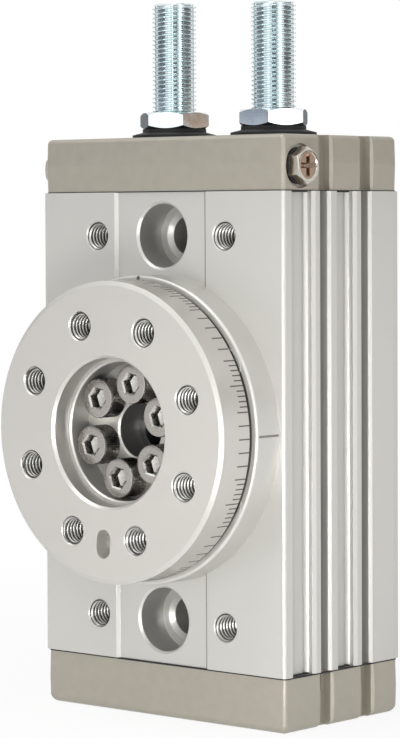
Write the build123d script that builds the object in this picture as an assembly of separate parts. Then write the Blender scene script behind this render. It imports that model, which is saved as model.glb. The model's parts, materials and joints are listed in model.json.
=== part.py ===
from build123d import *

import os
from math import acos, cos, pi, radians, sin, sqrt, tan

# Rack-and-pinion pneumatic rotary table with two adjustment bolts.
# Millimetres. The origin is where the table's axis meets the rear mounting face.
# +Z points along the body towards the bolts, and the table faces -Y.
# A depth named *_at is measured from the rear face towards the table, so it lies at Y = -depth.

# Body: an extruded block with two cylinder bores
side_wall = 7.75
rear_wall = 8.0
chamber_wall = 1.2
front_corner_radius = 0.8
rear_edge_inset = 0.5
rear_edge_length = 2.1
band_half_width = 12.8
band_depth = 0.8
band_slope = 0.5

# Side channels and switch grooves, one pair of each on both sides
switch_groove_at = (26.2, 12.0)
channel_front_at = (37.3, 22.0)
groove_mouth = 3.2
groove_lip = 1.0
groove_inner_width = 4.9
groove_total_depth = 4.0
groove_rear_chamfer = 0.6
channel_depth = 1.8
channel_hollow = 0.6
channel_ridge_to_groove = 5.6
channel_wall_to_groove = 4.1
channel_lip_rise = 0.4
channel_lip_width = 1.0

# Cylinders and rack pistons
bore_diameter = 21.0
bore_spacing = 33.5
bore_lead_in = 0.5
piston_clearance = 0.1
lower_head_length = 9.0
upper_head_length = 11.5
bolt_pocket_depth = 10.2
bolt_pocket_clearance = 0.4
seal_groove_width = 2.6
seal_groove_depth = 1.7
wear_groove_depth = 1.2
head_land = 1.3
soft_ring_clearance = 0.05
soft_ring_side_play = 0.1
magnet_diameter = 4.8
magnet_length = 3.5
magnet_recess = 0.3

# Rack and pinion
gear_module = 1.25
pinion_teeth = 14
pressure_angle = 20.0
rack_addendum = 1.0
pinion_addendum = 1.1
tip_clearance = 0.3
backlash = 0.12
rack_teeth = 10
rack_end_clearance = 0.55
gear_face_width = 18.0
rotation_range = 190.0
rest_angle = -3.1

# Pinion shaft and its bearings
hollow_shaft_diameter = 9.0
rear_bearing_inner_diameter = 15.0
rear_bearing_outer_diameter = 24.0
rear_bearing_width = 5.0
rear_bearing_balls = 11
front_bearing_inner_diameter = 35.0
front_bearing_outer_diameter = 47.0
front_bearing_width = 7.0
front_bearing_sink = 4.0
front_bearing_balls = 14
ball_share = 0.63
race_clearance = 0.05
race_wall_share = 0.32
rear_lip = 1.0
rear_lip_diameter = 17.0
bearing_shoulder = 2.0
pinion_flange_thickness = 4.8
flange_gap = 1.0
pinion_neck_diameter = 18.0
spigot_clearance = 0.1
chamber_clearance = 0.8
shaft_end_inset = 0.4

# Rotary table and the ring that holds its bearing
table_diameter = 65.0
table_thickness = 9.0
table_edge_radial = 1.0
table_edge_axial = 0.5
table_rear_chamfer = 0.3
table_gap = 1.0
centring_diameter = 32.0
centring_depth = 4.5
centring_chamfer = 0.6
bowl_clearance = 0.35
bowl_edge_chamfer = 0.35
bowl_depth = 10.3
web_thickness = 6.7
web_hole_diameter = 12.0
web_hole_chamfer = 0.4
payload_circle = 48.0
payload_holes = 8
payload_hole_diameter = 6.0
payload_countersink_diameter = 6.6
slot_width = 4.0
slot_length = 6.2
slot_depth = 4.5
table_screw_circle = 20.8
table_screws_count = 6
table_screw_edge = 3.6
first_hole_angle = 22.5
ring_rim = 1.0
ring_height = 7.0
ring_edge_radius = 0.6
ring_screw_circle = 57.0
ring_screws_count = 6
ring_hub_clearance = 0.7
dimple_diameter = 1.0
dimple_depth = 1.2
dowel_diameter = 3.0
dowel_length = 8.0

# Mounting features of the body
mount_to_end = 9.5
mount_hole_diameter = 8.5
mount_counterbore_diameter = 14.0
mount_counterbore_depth = 8.5
mount_chamfer = 0.5
mount_inner_chamfer = 1.0
rear_thread_diameter = 10.0
rear_thread_depth = 15.0
rear_thread_chamfer = 0.5
face_hole_spacing = 37.0
face_hole_diameter = 6.0
face_hole_depth = 10.0
face_hole_countersink_diameter = 6.6
rear_centring_diameter = 22.0
rear_centring_depth = 2.5

# Covers
cover_thickness = 12.0
cover_side_inset = 0.3
cover_face_inset = 0.45
cover_draft = 1.5
cover_corner_radius = 0.9
cover_top_radius = 1.1
end_cover_bottom_radius = 1.8
notch_width = 4.2
notch_depth = 2.7
notch_shift = 0.6
notch_rear_radius = 0.6
switch_relief_length = 4.5
joint_groove_height = 0.15
joint_groove_depth = 0.3
plate_side_margin = 4.0
plate_front_margin = 9.3
plate_rear_at = 6.3
plate_corner_radius = 9.0
plate_thickness = 1.5
seal_thickness = 1.0
gasket_thickness = 1.0
sheet_clearance = 0.1
sheet_hole_clearance = 0.3
front_screw_side_margin = 7.7
front_screw_front_margin = 11.4
rear_screw_side_margin = 6.5
rear_screw_at = 5.2
cover_screw_reach = 9.5
passage_side_margin = 5.5
passage_behind_bore = 1.0
passage_diameter = 2.2
feed_hole_diameter = 3.0
feed_hole_front_margin = 13.0
feed_channel_height = 3.0

# Ports
port_x = 14.5
port_front_margin = 6.5
port_drill_diameter = 8.6
port_depth = 8.0
port_flare = 0.7
side_port_front_margin = 6.0
side_port_height = 5.3
side_port_drill_diameter = 4.2
side_port_thread_diameter = 5.0
side_port_spot_diameter = 9.5
side_port_spot_depth = 1.0
plug_across_flats = 7.0
plug_head_height = 2.7
plug_edge_bevel = 0.3
plug_thread_length = 5.0
plug_gasket_thickness = 0.6
plug_gasket_diameter = 7.8

# Adjustment bolts with lock nuts and seal washers
bolt_spacing = 29.1
bolt_diameter = 9.9
bolt_end_chamfer = 0.8
bolt_socket = 5.0
bolt_socket_depth = 5.0
bolt_travel = 14.5
left_bolt_stand = 30.5
right_bolt_stand = 29.6
nut_across_flats = 14.0
nut_thickness = 3.7
left_nut_angle = 25.2
right_nut_angle = 1.8
washer_diameter = 19.0
washer_rim_thickness = 1.0
washer_slope_height = 0.6
washer_collar_diameter = 14.4
washer_collar_thickness = 0.8
thread_clearance = 0.05
pad_diameter = 9.0
pad_thickness = 3.0
pad_stem_diameter = 4.0
pad_stem_length = 2.5
end_pad_diameter = 11.0
end_pad_height = 5.1
end_pad_stem_diameter = 6.0
end_pad_stem_length = 4.5
stop_clearance = 0.3

# Cap screws: thread radius, head radius, head height, socket across flats, socket depth
m5_screw = (2.5, 4.25, 5.0, 4.0, 2.5)
m4_screw = (2.0, 3.5, 4.0, 3.0, 2.0)
m4_low_screw = (2.0, 3.5, 2.8, 2.5, 1.6)
screw_clearance = 0.2
head_clearance = 0.25
table_screw_length = 14.0
ring_screw_length = 10.0

# Places that follow from the sizes above
bore_radius = bore_diameter / 2
bore_x = bore_spacing / 2
bolt_x = bolt_spacing / 2
piston_radius = bore_radius - piston_clearance
body_width = bore_spacing + bore_diameter + 2 * side_wall
side = body_width / 2
bore_axis_at = rear_wall + bore_radius
gear_centre_at = bore_axis_at
chamber_floor_at = rear_wall + bore_diameter + chamber_wall
flange_rear_at = chamber_floor_at + flange_gap
front_bearing_at = flange_rear_at + pinion_flange_thickness
front_bearing_front = front_bearing_at + front_bearing_width
body_depth = front_bearing_at + front_bearing_sink
ring_front_at = body_depth + ring_height
ring_diameter = table_diameter + 2 * ring_rim
table_rear_at = ring_front_at + table_gap
face_at = table_rear_at + table_thickness
bowl_floor_at = face_at - bowl_depth
bowl_diameter = table_screw_circle + 2 * m5_screw[1] + 2 * bowl_clearance
web_rear_at = bowl_floor_at - web_thickness
pinion_flange_diameter = front_bearing_inner_diameter + 2 * bearing_shoulder
pinion_spigot_diameter = table_screw_circle + 2 * table_screw_edge
rear_bearing_at = rear_centring_depth + rear_lip
rear_bearing_front = rear_bearing_at + rear_bearing_width
pitch_radius = gear_module * pinion_teeth / 2
tooth_pitch = pi * gear_module
pinion_tip_radius = pitch_radius + pinion_addendum
rack_tip_x = pitch_radius - rack_addendum
rack_root_x = pinion_tip_radius + tip_clearance
half_stroke = pitch_radius * radians(rotation_range / 2)
rest_shift = pitch_radius * radians(rest_angle)
head_gap = sqrt(pinion_tip_radius**2 - (bore_x - piston_radius) ** 2) + rack_end_clearance
rack_half_length = half_stroke + head_gap
piston_top = rack_half_length + upper_head_length
piston_bottom = -rack_half_length - lower_head_length
bolt_tip = piston_top - bolt_pocket_depth + half_stroke + stop_clearance + bolt_travel
end_pad_top = piston_bottom - half_stroke - stop_clearance
# The extrusion is cut to a length of whole fifths of a millimetre.
half_length = round(end_pad_height - end_pad_top, 1)
body_length = 2 * half_length
mount_spacing = body_length - 2 * mount_to_end
cover_top = half_length + cover_thickness
washer_height = washer_rim_thickness + washer_slope_height + washer_collar_thickness
washer_top = cover_top + washer_height
cover_half_width = side - cover_side_inset
plate_front_at = body_depth - plate_front_margin
plate_width = body_width - 2 * plate_side_margin
front_screw_x = side - front_screw_side_margin
front_screw_at = body_depth - front_screw_front_margin
rear_screw_x = side - rear_screw_side_margin
passage_x = side - passage_side_margin
passage_at = bore_axis_at + passage_behind_bore
feed_hole_at = body_depth - feed_hole_front_margin
port_at = body_depth - port_front_margin
side_port_at = body_depth - side_port_front_margin
table_screw_seat = bowl_floor_at
ring_screw_seat = ring_front_at - m4_low_screw[2] - 0.6
cover_screw_seat = cover_thickness - m4_screw[2] - 0.4
cover_screw_places = [
    (sign * x, -at)
    for sign in (-1, 1)
    for x, at in ((front_screw_x, front_screw_at), (rear_screw_x, rear_screw_at))
]


upright = (Align.CENTER, Align.CENTER, Align.MIN)


def towards_table(at):
    """Plane facing the table side, at a depth from the rear face."""
    return Plane.XZ.offset(at)


def disc(diameter, start, end, x=0.0, z=0.0):
    """Cylinder along the table's axis between two depths."""
    return extrude(towards_table(start) * Pos(x, z) * Circle(diameter / 2), end - start)


def post(diameter, bottom, top, x, at):
    """Cylinder along Z between two heights."""
    return Pos(x, -at, bottom) * Cylinder(diameter / 2, top - bottom, align=upright)


def cone(wide, narrow, start, end, x=0.0, z=0.0):
    """Countersink along the table's axis, wide at the start depth."""
    tool = Cone(wide / 2, narrow / 2, abs(end - start), align=upright)
    towards_rear = Plane((0, -start, 0), x_dir=(1, 0, 0), z_dir=(0, 1, 0))
    plane = towards_table(start) if end > start else towards_rear
    return Pos(x, 0, z) * plane.location * tool


def turned_profile(points):
    """Ring about the table's axis from (radius, depth) points."""
    return revolve(make_face(Polyline([(radius, -at) for radius, at in points], close=True)), Axis.Y)


def around(count, circle, first_angle, make):
    """One solid for each place on a bolt circle, as the table's mid position has them."""
    places = []
    for k in range(count):
        angle = radians(first_angle + 360 * k / count)
        places.append(make(circle / 2 * cos(angle), circle / 2 * sin(angle)))
    return places


def at_rest(shape):
    """Turns a piece of the rotating group from its mid position to its rest position."""
    return Rot(0, -rest_angle, 0) * shape


def joined(shapes):
    """One compound of separate solids."""
    return Compound(children=list(shapes))


def cut_all(shape, tools):
    """Takes every tool out of the shape."""
    return shape - list(tools)


def cap_screw(screw, length):
    """Socket cap screw with its head up from z = 0 and its shank down."""
    thread, head, height, socket, depth = screw
    solid = Cylinder(head, height, align=upright)
    solid = chamfer(solid.edges().group_by(Axis.Z)[-1], 0.25)
    shank = Pos(0, 0, -length) * Cylinder(thread - thread_clearance, length, align=upright)
    recess = extrude(Pos(0, 0, height - depth) * RegularPolygon(socket / 2, 6, major_radius=False), depth)
    return solid + shank - recess


# Body

def side_cuts(groove_at, channel_at):
    """Section of one switch groove and the open channel in front of it, on the +X side."""
    mouth = Pos(side - groove_total_depth / 2, -groove_at) * Rectangle(groove_total_depth, groove_mouth)
    inner_depth = groove_total_depth - groove_lip
    inner = Pos(side - groove_lip - inner_depth / 2, -groove_at) * Rectangle(inner_depth, groove_inner_width)
    rear_edge = -groove_at + groove_mouth / 2
    corner = make_face(Polyline(
        (side, rear_edge + groove_rear_chamfer),
        (side + 1, rear_edge + groove_rear_chamfer),
        (side + 1, rear_edge - 0.1),
        (side - groove_rear_chamfer, rear_edge - 0.1),
        (side - groove_rear_chamfer, rear_edge),
        close=True,
    ))
    floor = side - channel_depth
    ridge = -groove_at - channel_ridge_to_groove
    wall = -groove_at - channel_wall_to_groove
    lip = side - channel_lip_rise
    outline = [
        Line((side + 1, -channel_at), (floor, -channel_at)),
        Line((floor, -channel_at), (floor, ridge)),
        ThreePointArc((floor, ridge), (floor - channel_hollow, (ridge + wall) / 2), (lip, wall)),
        Line((lip, wall), (side, wall + channel_lip_width)),
        Line((side, wall + channel_lip_width), (side + 1, wall + channel_lip_width)),
        Line((side + 1, wall + channel_lip_width), (side + 1, -channel_at)),
    ]
    return [mouth, inner, corner, make_face(Curve() + outline)]


def body_section():
    """Section of the extrusion, without the cylinder bores."""
    block = Pos(0, -body_depth / 2) * Rectangle(body_width, body_depth)
    block = fillet(block.vertices().group_by(Axis.Y)[0], front_corner_radius)
    rear_cut = make_face(Polyline(
        (side, -rear_edge_length),
        (side - rear_edge_inset, 0),
        (side - rear_edge_inset, 1),
        (side + 1, 1),
        (side + 1, -rear_edge_length),
        close=True,
    ))
    band_floor = -body_depth + band_depth
    band = make_face(Polyline(
        (-band_half_width - band_slope, -body_depth),
        (-band_half_width, band_floor),
        (band_half_width, band_floor),
        (band_half_width + band_slope, -body_depth),
        (band_half_width + band_slope, -body_depth - 1),
        (-band_half_width - band_slope, -body_depth - 1),
        close=True,
    ))
    cuts = [rear_cut]
    for groove_at, channel_at in zip(switch_groove_at, channel_front_at):
        cuts += side_cuts(groove_at, channel_at)
    cuts += [mirror(cut, Plane.YZ) for cut in cuts]
    return block - cuts - band


def make_body():
    block = Pos(0, 0, -half_length) * extrude(body_section(), body_length)
    block += disc(ring_diameter, body_depth - band_depth - 1, body_depth)
    tools = [
        disc(rear_centring_diameter, -1, rear_centring_depth),
        disc(rear_lip_diameter, 0, rear_bearing_at + 1),
        disc(rear_bearing_outer_diameter, rear_bearing_at, chamber_floor_at + 1),
        disc(pinion_flange_diameter + 2 * chamber_clearance, chamber_floor_at, front_bearing_at + 1),
        disc(front_bearing_outer_diameter, front_bearing_at, body_depth + 1),
    ]
    for sign in (-1, 1):
        x = sign * bore_x
        tools.append(post(bore_diameter, -half_length - 1, half_length + 1, x, bore_axis_at))
        tools.append(post(passage_diameter, -half_length - 1, half_length + 1, sign * passage_x, passage_at))
        lead_in = Cone(bore_radius, bore_radius + bore_lead_in, bore_lead_in)
        tools.append(Pos(x, -bore_axis_at, half_length - bore_lead_in / 2) * lead_in)
        tools.append(Pos(x, -bore_axis_at, -half_length + bore_lead_in / 2) * Rot(180, 0, 0) * lead_in)
        z = sign * mount_spacing / 2
        band_at = body_depth - band_depth
        floor_at = body_depth - mount_counterbore_depth
        tools.append(disc(mount_hole_diameter, -1, body_depth, 0, z))
        tools.append(disc(rear_thread_diameter, -1, rear_thread_depth, 0, z))
        tools.append(disc(mount_counterbore_diameter, floor_at, body_depth + 1, 0, z))
        mouth = mount_counterbore_diameter + 2 * mount_chamfer
        tools.append(cone(mouth, mount_counterbore_diameter, band_at, band_at - mount_chamfer, 0, z))
        mouth = rear_thread_diameter + 2 * rear_thread_chamfer
        tools.append(cone(mouth, rear_thread_diameter, 0, rear_thread_chamfer, 0, z))
        mouth = mount_hole_diameter + 2 * mount_inner_chamfer
        tools.append(cone(mouth, mount_hole_diameter, floor_at, floor_at - mount_inner_chamfer, 0, z))
        for other in (-1, 1):
            x = other * face_hole_spacing / 2
            tools.append(disc(face_hole_diameter, body_depth - face_hole_depth, body_depth + 1, x, z))
            mouth = face_hole_countersink_diameter
            sink = (mouth - face_hole_diameter) / 2
            tools.append(cone(mouth, face_hole_diameter, body_depth, body_depth - sink, x, z))
    screw_hole = 2 * m4_low_screw[0]
    ring_hole_at = ring_screw_seat - ring_screw_length - 0.5
    tools += around(ring_screws_count, ring_screw_circle, 30,
                    lambda x, z: disc(screw_hole, ring_hole_at, body_depth + 1, x, z))
    reach = cover_screw_reach + 0.5
    for x, y in cover_screw_places:
        tools.append(post(2 * m4_screw[0], half_length - reach, half_length + 1, x, -y))
        tools.append(post(2 * m4_screw[0], -half_length - 1, -half_length + reach, x, -y))
    return cut_all(block, tools)


# Covers

def cover_block(edge_radius):
    """Die-cast block from its joint face at z = 0 up, widest at the parting line in the middle."""
    middle = cover_thickness / 2
    depth = body_depth - 2 * cover_face_inset
    outline = Pos(0, -body_depth / 2) * RectangleRounded(2 * cover_half_width, depth, cover_corner_radius)
    upper = extrude(Pos(0, 0, middle) * outline, middle, taper=cover_draft)
    lower = mirror(extrude(Pos(0, 0, middle) * outline, middle, taper=cover_draft), Plane.XY.offset(middle))
    block = fillet(upper.faces().sort_by(Axis.Z)[-1].edges(), edge_radius) + lower
    cuts = []
    for groove_at in switch_groove_at:
        centre = -groove_at + notch_shift
        cuts.append(Pos(side, centre) * Rectangle(2 * notch_depth, notch_width))
        rear = centre + notch_width / 2
        inset = cover_side_inset
        cuts.append(make_face(Polyline(
            (side - inset - notch_rear_radius, rear - 0.01),
            (side - inset, rear + notch_rear_radius),
            (side + 1, rear + notch_rear_radius),
            (side + 1, rear - 0.01),
            close=True,
        )))
    cuts += [mirror(cut, Plane.YZ) for cut in cuts]
    tools = [Pos(0, 0, -1) * extrude(cut, cover_thickness + 2) for cut in cuts]
    seated = Pos(0, -body_depth / 2) * Rectangle(
        2 * (cover_half_width - joint_groove_depth), depth - 2 * joint_groove_depth)
    tools.append(extrude(Pos(0, -body_depth / 2) * Rectangle(2 * body_width, 2 * body_depth) - seated,
                         joint_groove_height))
    return block - tools


def sheet_outline(clearance):
    """Outline of the plate, seal and gasket that close the cylinders."""
    depth = plate_front_at - plate_rear_at
    middle = (plate_front_at + plate_rear_at) / 2
    return Pos(0, -middle) * RectangleRounded(
        plate_width + 2 * clearance, depth + 2 * clearance, plate_corner_radius + clearance)


def front_screw_holes():
    """Clearance holes of the two front cover screws that pass through a sheet."""
    diameter = 2 * m4_screw[0] + 2 * sheet_hole_clearance
    return [Pos(sign * front_screw_x, -front_screw_at) * Circle(diameter / 2) for sign in (-1, 1)]


def passage_holes():
    return [Pos(sign * passage_x, -passage_at) * Circle(passage_diameter / 2) for sign in (-1, 1)]


def screw_bores(seat):
    """Clearance holes and head recesses for the four cover screws, from the joint face up."""
    tools = []
    for x, y in cover_screw_places:
        tools.append(post(2 * (m4_screw[0] + screw_clearance), -1, seat + 1, x, -y))
        tools.append(post(2 * (m4_screw[1] + head_clearance), seat, cover_thickness + 1, x, -y))
    return tools


def make_top_cover():
    block = cover_block(cover_top_radius)
    pocket_height = plate_thickness + seal_thickness
    tools = [Pos(0, 0, -1) * extrude(sheet_outline(sheet_clearance), pocket_height + 1)]
    tools += screw_bores(cover_screw_seat)
    for sign in (-1, 1):
        tools.append(post(bolt_diameter + 2 * thread_clearance, -1, cover_thickness + 1, sign * bolt_x, bore_axis_at))
        port_bottom = cover_thickness - port_depth
        tools.append(post(port_drill_diameter, port_bottom, cover_thickness + 1, sign * port_x, port_at))
        port_radius = port_drill_diameter / 2
        flare = Cone(port_radius, port_radius + port_flare, port_flare, align=(Align.CENTER, Align.CENTER, Align.MAX))
        tools.append(Pos(sign * port_x, -port_at, cover_thickness) * flare)
        length = port_at - feed_hole_at + feed_hole_diameter / 2
        channel = Box(feed_hole_diameter, length, feed_channel_height, align=(Align.CENTER, Align.MAX, Align.MIN))
        tools.append(Pos(sign * port_x, -feed_hole_at + feed_hole_diameter / 2, pocket_height - 0.01) * channel)
        tools += side_port_tools(sign)
    return Pos(0, 0, half_length) * cut_all(block, tools)


def along_x(diameter, inner, outer, sign, at, height):
    """Cylinder along X between two distances from the middle plane."""
    tool = Cylinder(diameter / 2, outer - inner, align=upright)
    return Pos(sign * inner, -at, height) * Rot(0, sign * 90, 0) * tool


def side_port_tools(sign):
    """Drill, thread and spot face of one side port."""
    spot_x = cover_half_width - side_port_spot_depth
    thread_x = spot_x - plug_thread_length - 1
    return [
        along_x(side_port_drill_diameter, port_x, side, sign, side_port_at, side_port_height),
        along_x(side_port_thread_diameter, thread_x, side, sign, side_port_at, side_port_height),
        along_x(side_port_spot_diameter, spot_x, side + 1, sign, side_port_at, side_port_height),
    ]


def make_end_cover():
    block = cover_block(end_cover_bottom_radius)
    tools = [Pos(0, 0, -1) * extrude(sheet_outline(sheet_clearance), gasket_thickness + 1)]
    tools += screw_bores(cover_screw_seat)
    for sign in (-1, 1):
        tools.append(post(end_pad_stem_diameter, -1, end_pad_stem_length + 0.5, sign * bore_x, bore_axis_at))
        for groove_at in switch_groove_at:
            relief = Box(groove_total_depth - groove_lip, groove_mouth, 2 * switch_relief_length)
            x = side - groove_lip - (groove_total_depth - groove_lip) / 2
            tools.append(Pos(sign * x, -groove_at, 0) * relief)
    upright = cut_all(block, tools)
    return Pos(0, 0, -half_length) * mirror(upright, Plane.XY)


def top_sheet(thickness):
    """Sheet under the top cover, with holes for the bolts, the air feeds and the passages."""
    bolt_hole = Circle(bolt_diameter / 2 + sheet_hole_clearance)
    holes = [Pos(sign * bolt_x, -bore_axis_at) * bolt_hole for sign in (-1, 1)]
    holes += [Pos(sign * port_x, -feed_hole_at) * Circle(feed_hole_diameter / 2) for sign in (-1, 1)]
    holes += front_screw_holes() + passage_holes()
    return extrude(sheet_outline(0) - holes, thickness)


def make_channel_plate():
    return Pos(0, 0, half_length) * top_sheet(plate_thickness)


def make_channel_seal():
    return Pos(0, 0, half_length + plate_thickness) * top_sheet(seal_thickness)


def make_end_gasket():
    holes = [Pos(sign * bore_x, -bore_axis_at) * Circle(end_pad_stem_diameter / 2) for sign in (-1, 1)]
    holes += front_screw_holes() + passage_holes()
    return Pos(0, 0, -half_length - gasket_thickness) * extrude(sheet_outline(0) - holes, gasket_thickness)


def make_cover_screws(sign):
    screw = cap_screw(m4_screw, cover_screw_seat + cover_screw_reach)
    if sign < 0:
        screw = Rot(180, 0, 0) * screw
    height = sign * (half_length + cover_screw_seat)
    return joined([Pos(x, y, height) * screw for x, y in cover_screw_places])


# Ports

def make_port_plugs():
    plugs = []
    for sign in (-1, 1):
        seat = cover_half_width - side_port_spot_depth + plug_gasket_thickness
        head = extrude(RegularPolygon(plug_across_flats / 2, 6, major_radius=False, rotation=30), plug_head_height)
        slope = plug_head_height + plug_edge_bevel
        dome = Cone(plug_across_flats / 2 + slope, plug_across_flats / 2, slope, align=upright)
        shank = Cylinder(side_port_thread_diameter / 2 - thread_clearance, plug_thread_length,
                         align=(Align.CENTER, Align.CENTER, Align.MAX))
        plug = (head & dome) + shank
        plugs.append(Pos(sign * seat, -side_port_at, half_length + side_port_height) * Rot(0, sign * 90, 0) * plug)
    return joined(plugs)


def make_plug_gaskets():
    rings = []
    for sign in (-1, 1):
        seat = cover_half_width - side_port_spot_depth
        outer = along_x(plug_gasket_diameter, seat, seat + plug_gasket_thickness, sign, side_port_at, side_port_height)
        inner = along_x(side_port_thread_diameter, seat - 1, seat + 1, sign, side_port_at, side_port_height)
        rings.append(Pos(0, 0, half_length) * (outer - inner))
    return joined(rings)


# Adjustment bolts

def make_bolt(sign, stand):
    top = cover_top + stand
    bottom = bolt_tip + pad_thickness
    x = sign * bolt_x
    shank = post(bolt_diameter, bottom, top, x, bore_axis_at)
    shank = chamfer(shank.edges().group_by(Axis.Z)[-1], bolt_end_chamfer)
    socket = extrude(Pos(x, -bore_axis_at, top - bolt_socket_depth)
                     * RegularPolygon(bolt_socket / 2, 6, major_radius=False), bolt_socket_depth + 1)
    stem = post(pad_stem_diameter, bottom - 1, bottom + pad_stem_length, x, bore_axis_at)
    return shank - socket - stem


def make_bolt_pad(sign):
    x = sign * bolt_x
    bottom = bolt_tip + pad_thickness
    return (post(pad_diameter, bolt_tip, bottom, x, bore_axis_at)
            + post(pad_stem_diameter, bottom, bottom + pad_stem_length, x, bore_axis_at))


def make_lock_nut(sign, angle):
    prism = extrude(RegularPolygon(nut_across_flats / 2, 6, major_radius=False, rotation=angle), nut_thickness)
    reach = nut_across_flats / 2 + nut_thickness / 2 / tan(radians(30)) - 0.15
    flat = nut_across_flats / 2 - 0.15
    double_cone = revolve(make_face(Polyline(
        (0, 0), (flat, 0), (reach, nut_thickness / 2), (flat, nut_thickness), (0, nut_thickness), close=True)), Axis.Y)
    double_cone = Rot(90, 0, 0) * double_cone
    hole = Pos(0, 0, -1) * Cylinder(bolt_diameter / 2 + thread_clearance, nut_thickness + 2, align=upright)
    nut = (prism & double_cone) - hole
    return Pos(sign * bolt_x, -bore_axis_at, washer_top) * nut


def make_seal_washers():
    hole = bolt_diameter / 2 + sheet_hole_clearance
    rim = washer_diameter / 2
    collar = washer_collar_diameter / 2
    section = make_face(Polyline(
        (hole, 0),
        (rim, 0),
        (rim, washer_rim_thickness),
        (collar, washer_rim_thickness + washer_slope_height),
        (collar, washer_height),
        (hole, washer_height),
        close=True,
    ))
    washer = revolve(Plane.XZ * section, Axis.Z)
    return joined(Pos(sign * bolt_x, -bore_axis_at, cover_top) * washer for sign in (-1, 1))


def make_end_pads():
    pads = []
    for sign in (-1, 1):
        x = sign * bore_x
        head = post(end_pad_diameter, -half_length, end_pad_top, x, bore_axis_at)
        head = chamfer(head.edges().group_by(Axis.Z)[-1], 0.5)
        stem = post(end_pad_stem_diameter, -half_length - end_pad_stem_length, -half_length, x, bore_axis_at)
        pads.append(head + stem)
    return joined(pads)


# Rack pistons

def rack_gap():
    """Section of one gap between rack teeth, centred on the pitch line of the +X rack."""
    slope = tan(radians(pressure_angle))
    half_gap = tooth_pitch / 4 + backlash / 4
    tip_half = half_gap + rack_addendum * slope
    root_half = half_gap - (rack_root_x - pitch_radius) * slope
    over = 0.5
    over_half = tip_half + over * slope
    return make_face(Polyline(
        (rack_tip_x - over, -over_half),
        (rack_root_x, -root_half),
        (rack_root_x, root_half),
        (rack_tip_x - over, over_half),
        close=True,
    ))


def head_grooves(end, sign):
    """Depth and height range of the seal and wear ring grooves of the head that ends at z = end."""
    seal_start = end - sign * head_land
    wear_start = seal_start - sign * (seal_groove_width + head_land)
    return [
        (seal_groove_depth, *sorted((seal_start, seal_start - sign * seal_groove_width))),
        (wear_groove_depth, *sorted((wear_start, wear_start - sign * seal_groove_width))),
    ]


def make_piston(sign):
    """Piston in the +X bore at its mid position, mirrored for the -X bore."""
    reach = 3 * bore_radius
    solid = post(2 * piston_radius, piston_bottom, piston_top, bore_x, bore_axis_at)
    flat_x = rack_tip_x
    flat = Box(reach, reach, 2 * rack_half_length, align=(Align.MAX, Align.CENTER, Align.CENTER))
    tools = [Pos(flat_x, -bore_axis_at, 0) * flat]
    teeth_half = rack_teeth / 2 * tooth_pitch
    for end in (-1, 1):
        clear = rack_half_length - teeth_half
        relief = Box(reach, reach, clear, align=(Align.MAX, Align.CENTER, Align.CENTER))
        tools.append(Pos(rack_root_x, -bore_axis_at, end * (teeth_half + clear / 2)) * relief)
    gap = extrude(Plane.XZ * rack_gap(), reach)
    for k in range(rack_teeth + 1):
        z = (k - rack_teeth / 2) * tooth_pitch
        tools.append(Pos(0, -bore_axis_at + reach / 2, z) * gap)
    for end, direction in ((piston_top, 1), (piston_bottom, -1)):
        for depth, low, high in head_grooves(end, direction):
            outer = post(2 * bore_radius + 2, low, high, bore_x, bore_axis_at)
            core = post(2 * (piston_radius - depth), low - 1, high + 1, bore_x, bore_axis_at)
            tools.append(outer - core)
    pocket = bolt_diameter + 2 * bolt_pocket_clearance
    tools.append(post(pocket, piston_top - bolt_pocket_depth, piston_top + 1, bolt_x, bore_axis_at))
    magnet_x = bore_x + piston_radius - magnet_recess - magnet_length
    tools.append(along_x(magnet_diameter, magnet_x, magnet_x + reach, 1, bore_axis_at, 0))
    solid = cut_all(solid, tools)
    return placed_piston(solid, sign)


def placed_piston(shape, sign):
    """Moves a piece of the +X piston to its rest height, on either side."""
    if sign < 0:
        shape = mirror(shape, Plane.YZ)
    return Pos(0, 0, sign * rest_shift) * shape


def make_head_rings(sign, index):
    """Seals (index 0) or wear rings (index 1) of one piston."""
    rings = []
    for end, direction in ((piston_top, 1), (piston_bottom, -1)):
        depth, low, high = head_grooves(end, direction)[index]
        low += soft_ring_side_play
        high -= soft_ring_side_play
        outer = post(2 * (bore_radius - soft_ring_clearance), low, high, bore_x, bore_axis_at)
        inner = post(2 * (piston_radius - depth), low - 1, high + 1, bore_x, bore_axis_at)
        rings.append(placed_piston(outer - inner, sign))
    return joined(rings)


def make_magnet(sign):
    magnet_x = bore_x + piston_radius - magnet_recess - magnet_length
    magnet = along_x(magnet_diameter, magnet_x, magnet_x + magnet_length, 1, bore_axis_at, 0)
    return placed_piston(magnet, sign)


# Pinion

def involute(base, radius):
    """Angle that an involute has swept when it reaches a radius."""
    angle = acos(base / radius)
    return tan(angle) - angle


def pinion_section():
    """Outline of the toothed part, with a tooth on the +X axis."""
    base = pitch_radius * cos(radians(pressure_angle))
    root = rack_tip_x - tip_clearance
    half_tooth = (tooth_pitch / 2 - backlash / 2) / 2 / pitch_radius
    steps = 5
    radii = [base + (pinion_tip_radius - base) * k / (steps - 1) for k in range(steps)]
    swept = [half_tooth + involute(base, pitch_radius) - involute(base, radius) for radius in radii]
    upper = [(radius * cos(angle), radius * sin(angle)) for radius, angle in zip(radii, swept)]
    lower = [(x, -y) for x, y in upper]
    foot = (root * cos(swept[0]) - 0.3, root * sin(swept[0]))
    tooth = make_face(Curve() + [
        Line(foot, upper[0]),
        Spline(upper),
        ThreePointArc(upper[-1], (pinion_tip_radius, 0), lower[-1]),
        Spline(lower[::-1]),
        Line(lower[0], (foot[0], -foot[1])),
        Line((foot[0], -foot[1]), foot),
    ])
    teeth = [Rot(0, 0, 360 * k / pinion_teeth) * tooth for k in range(pinion_teeth)]
    return Circle(root) + teeth


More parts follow.
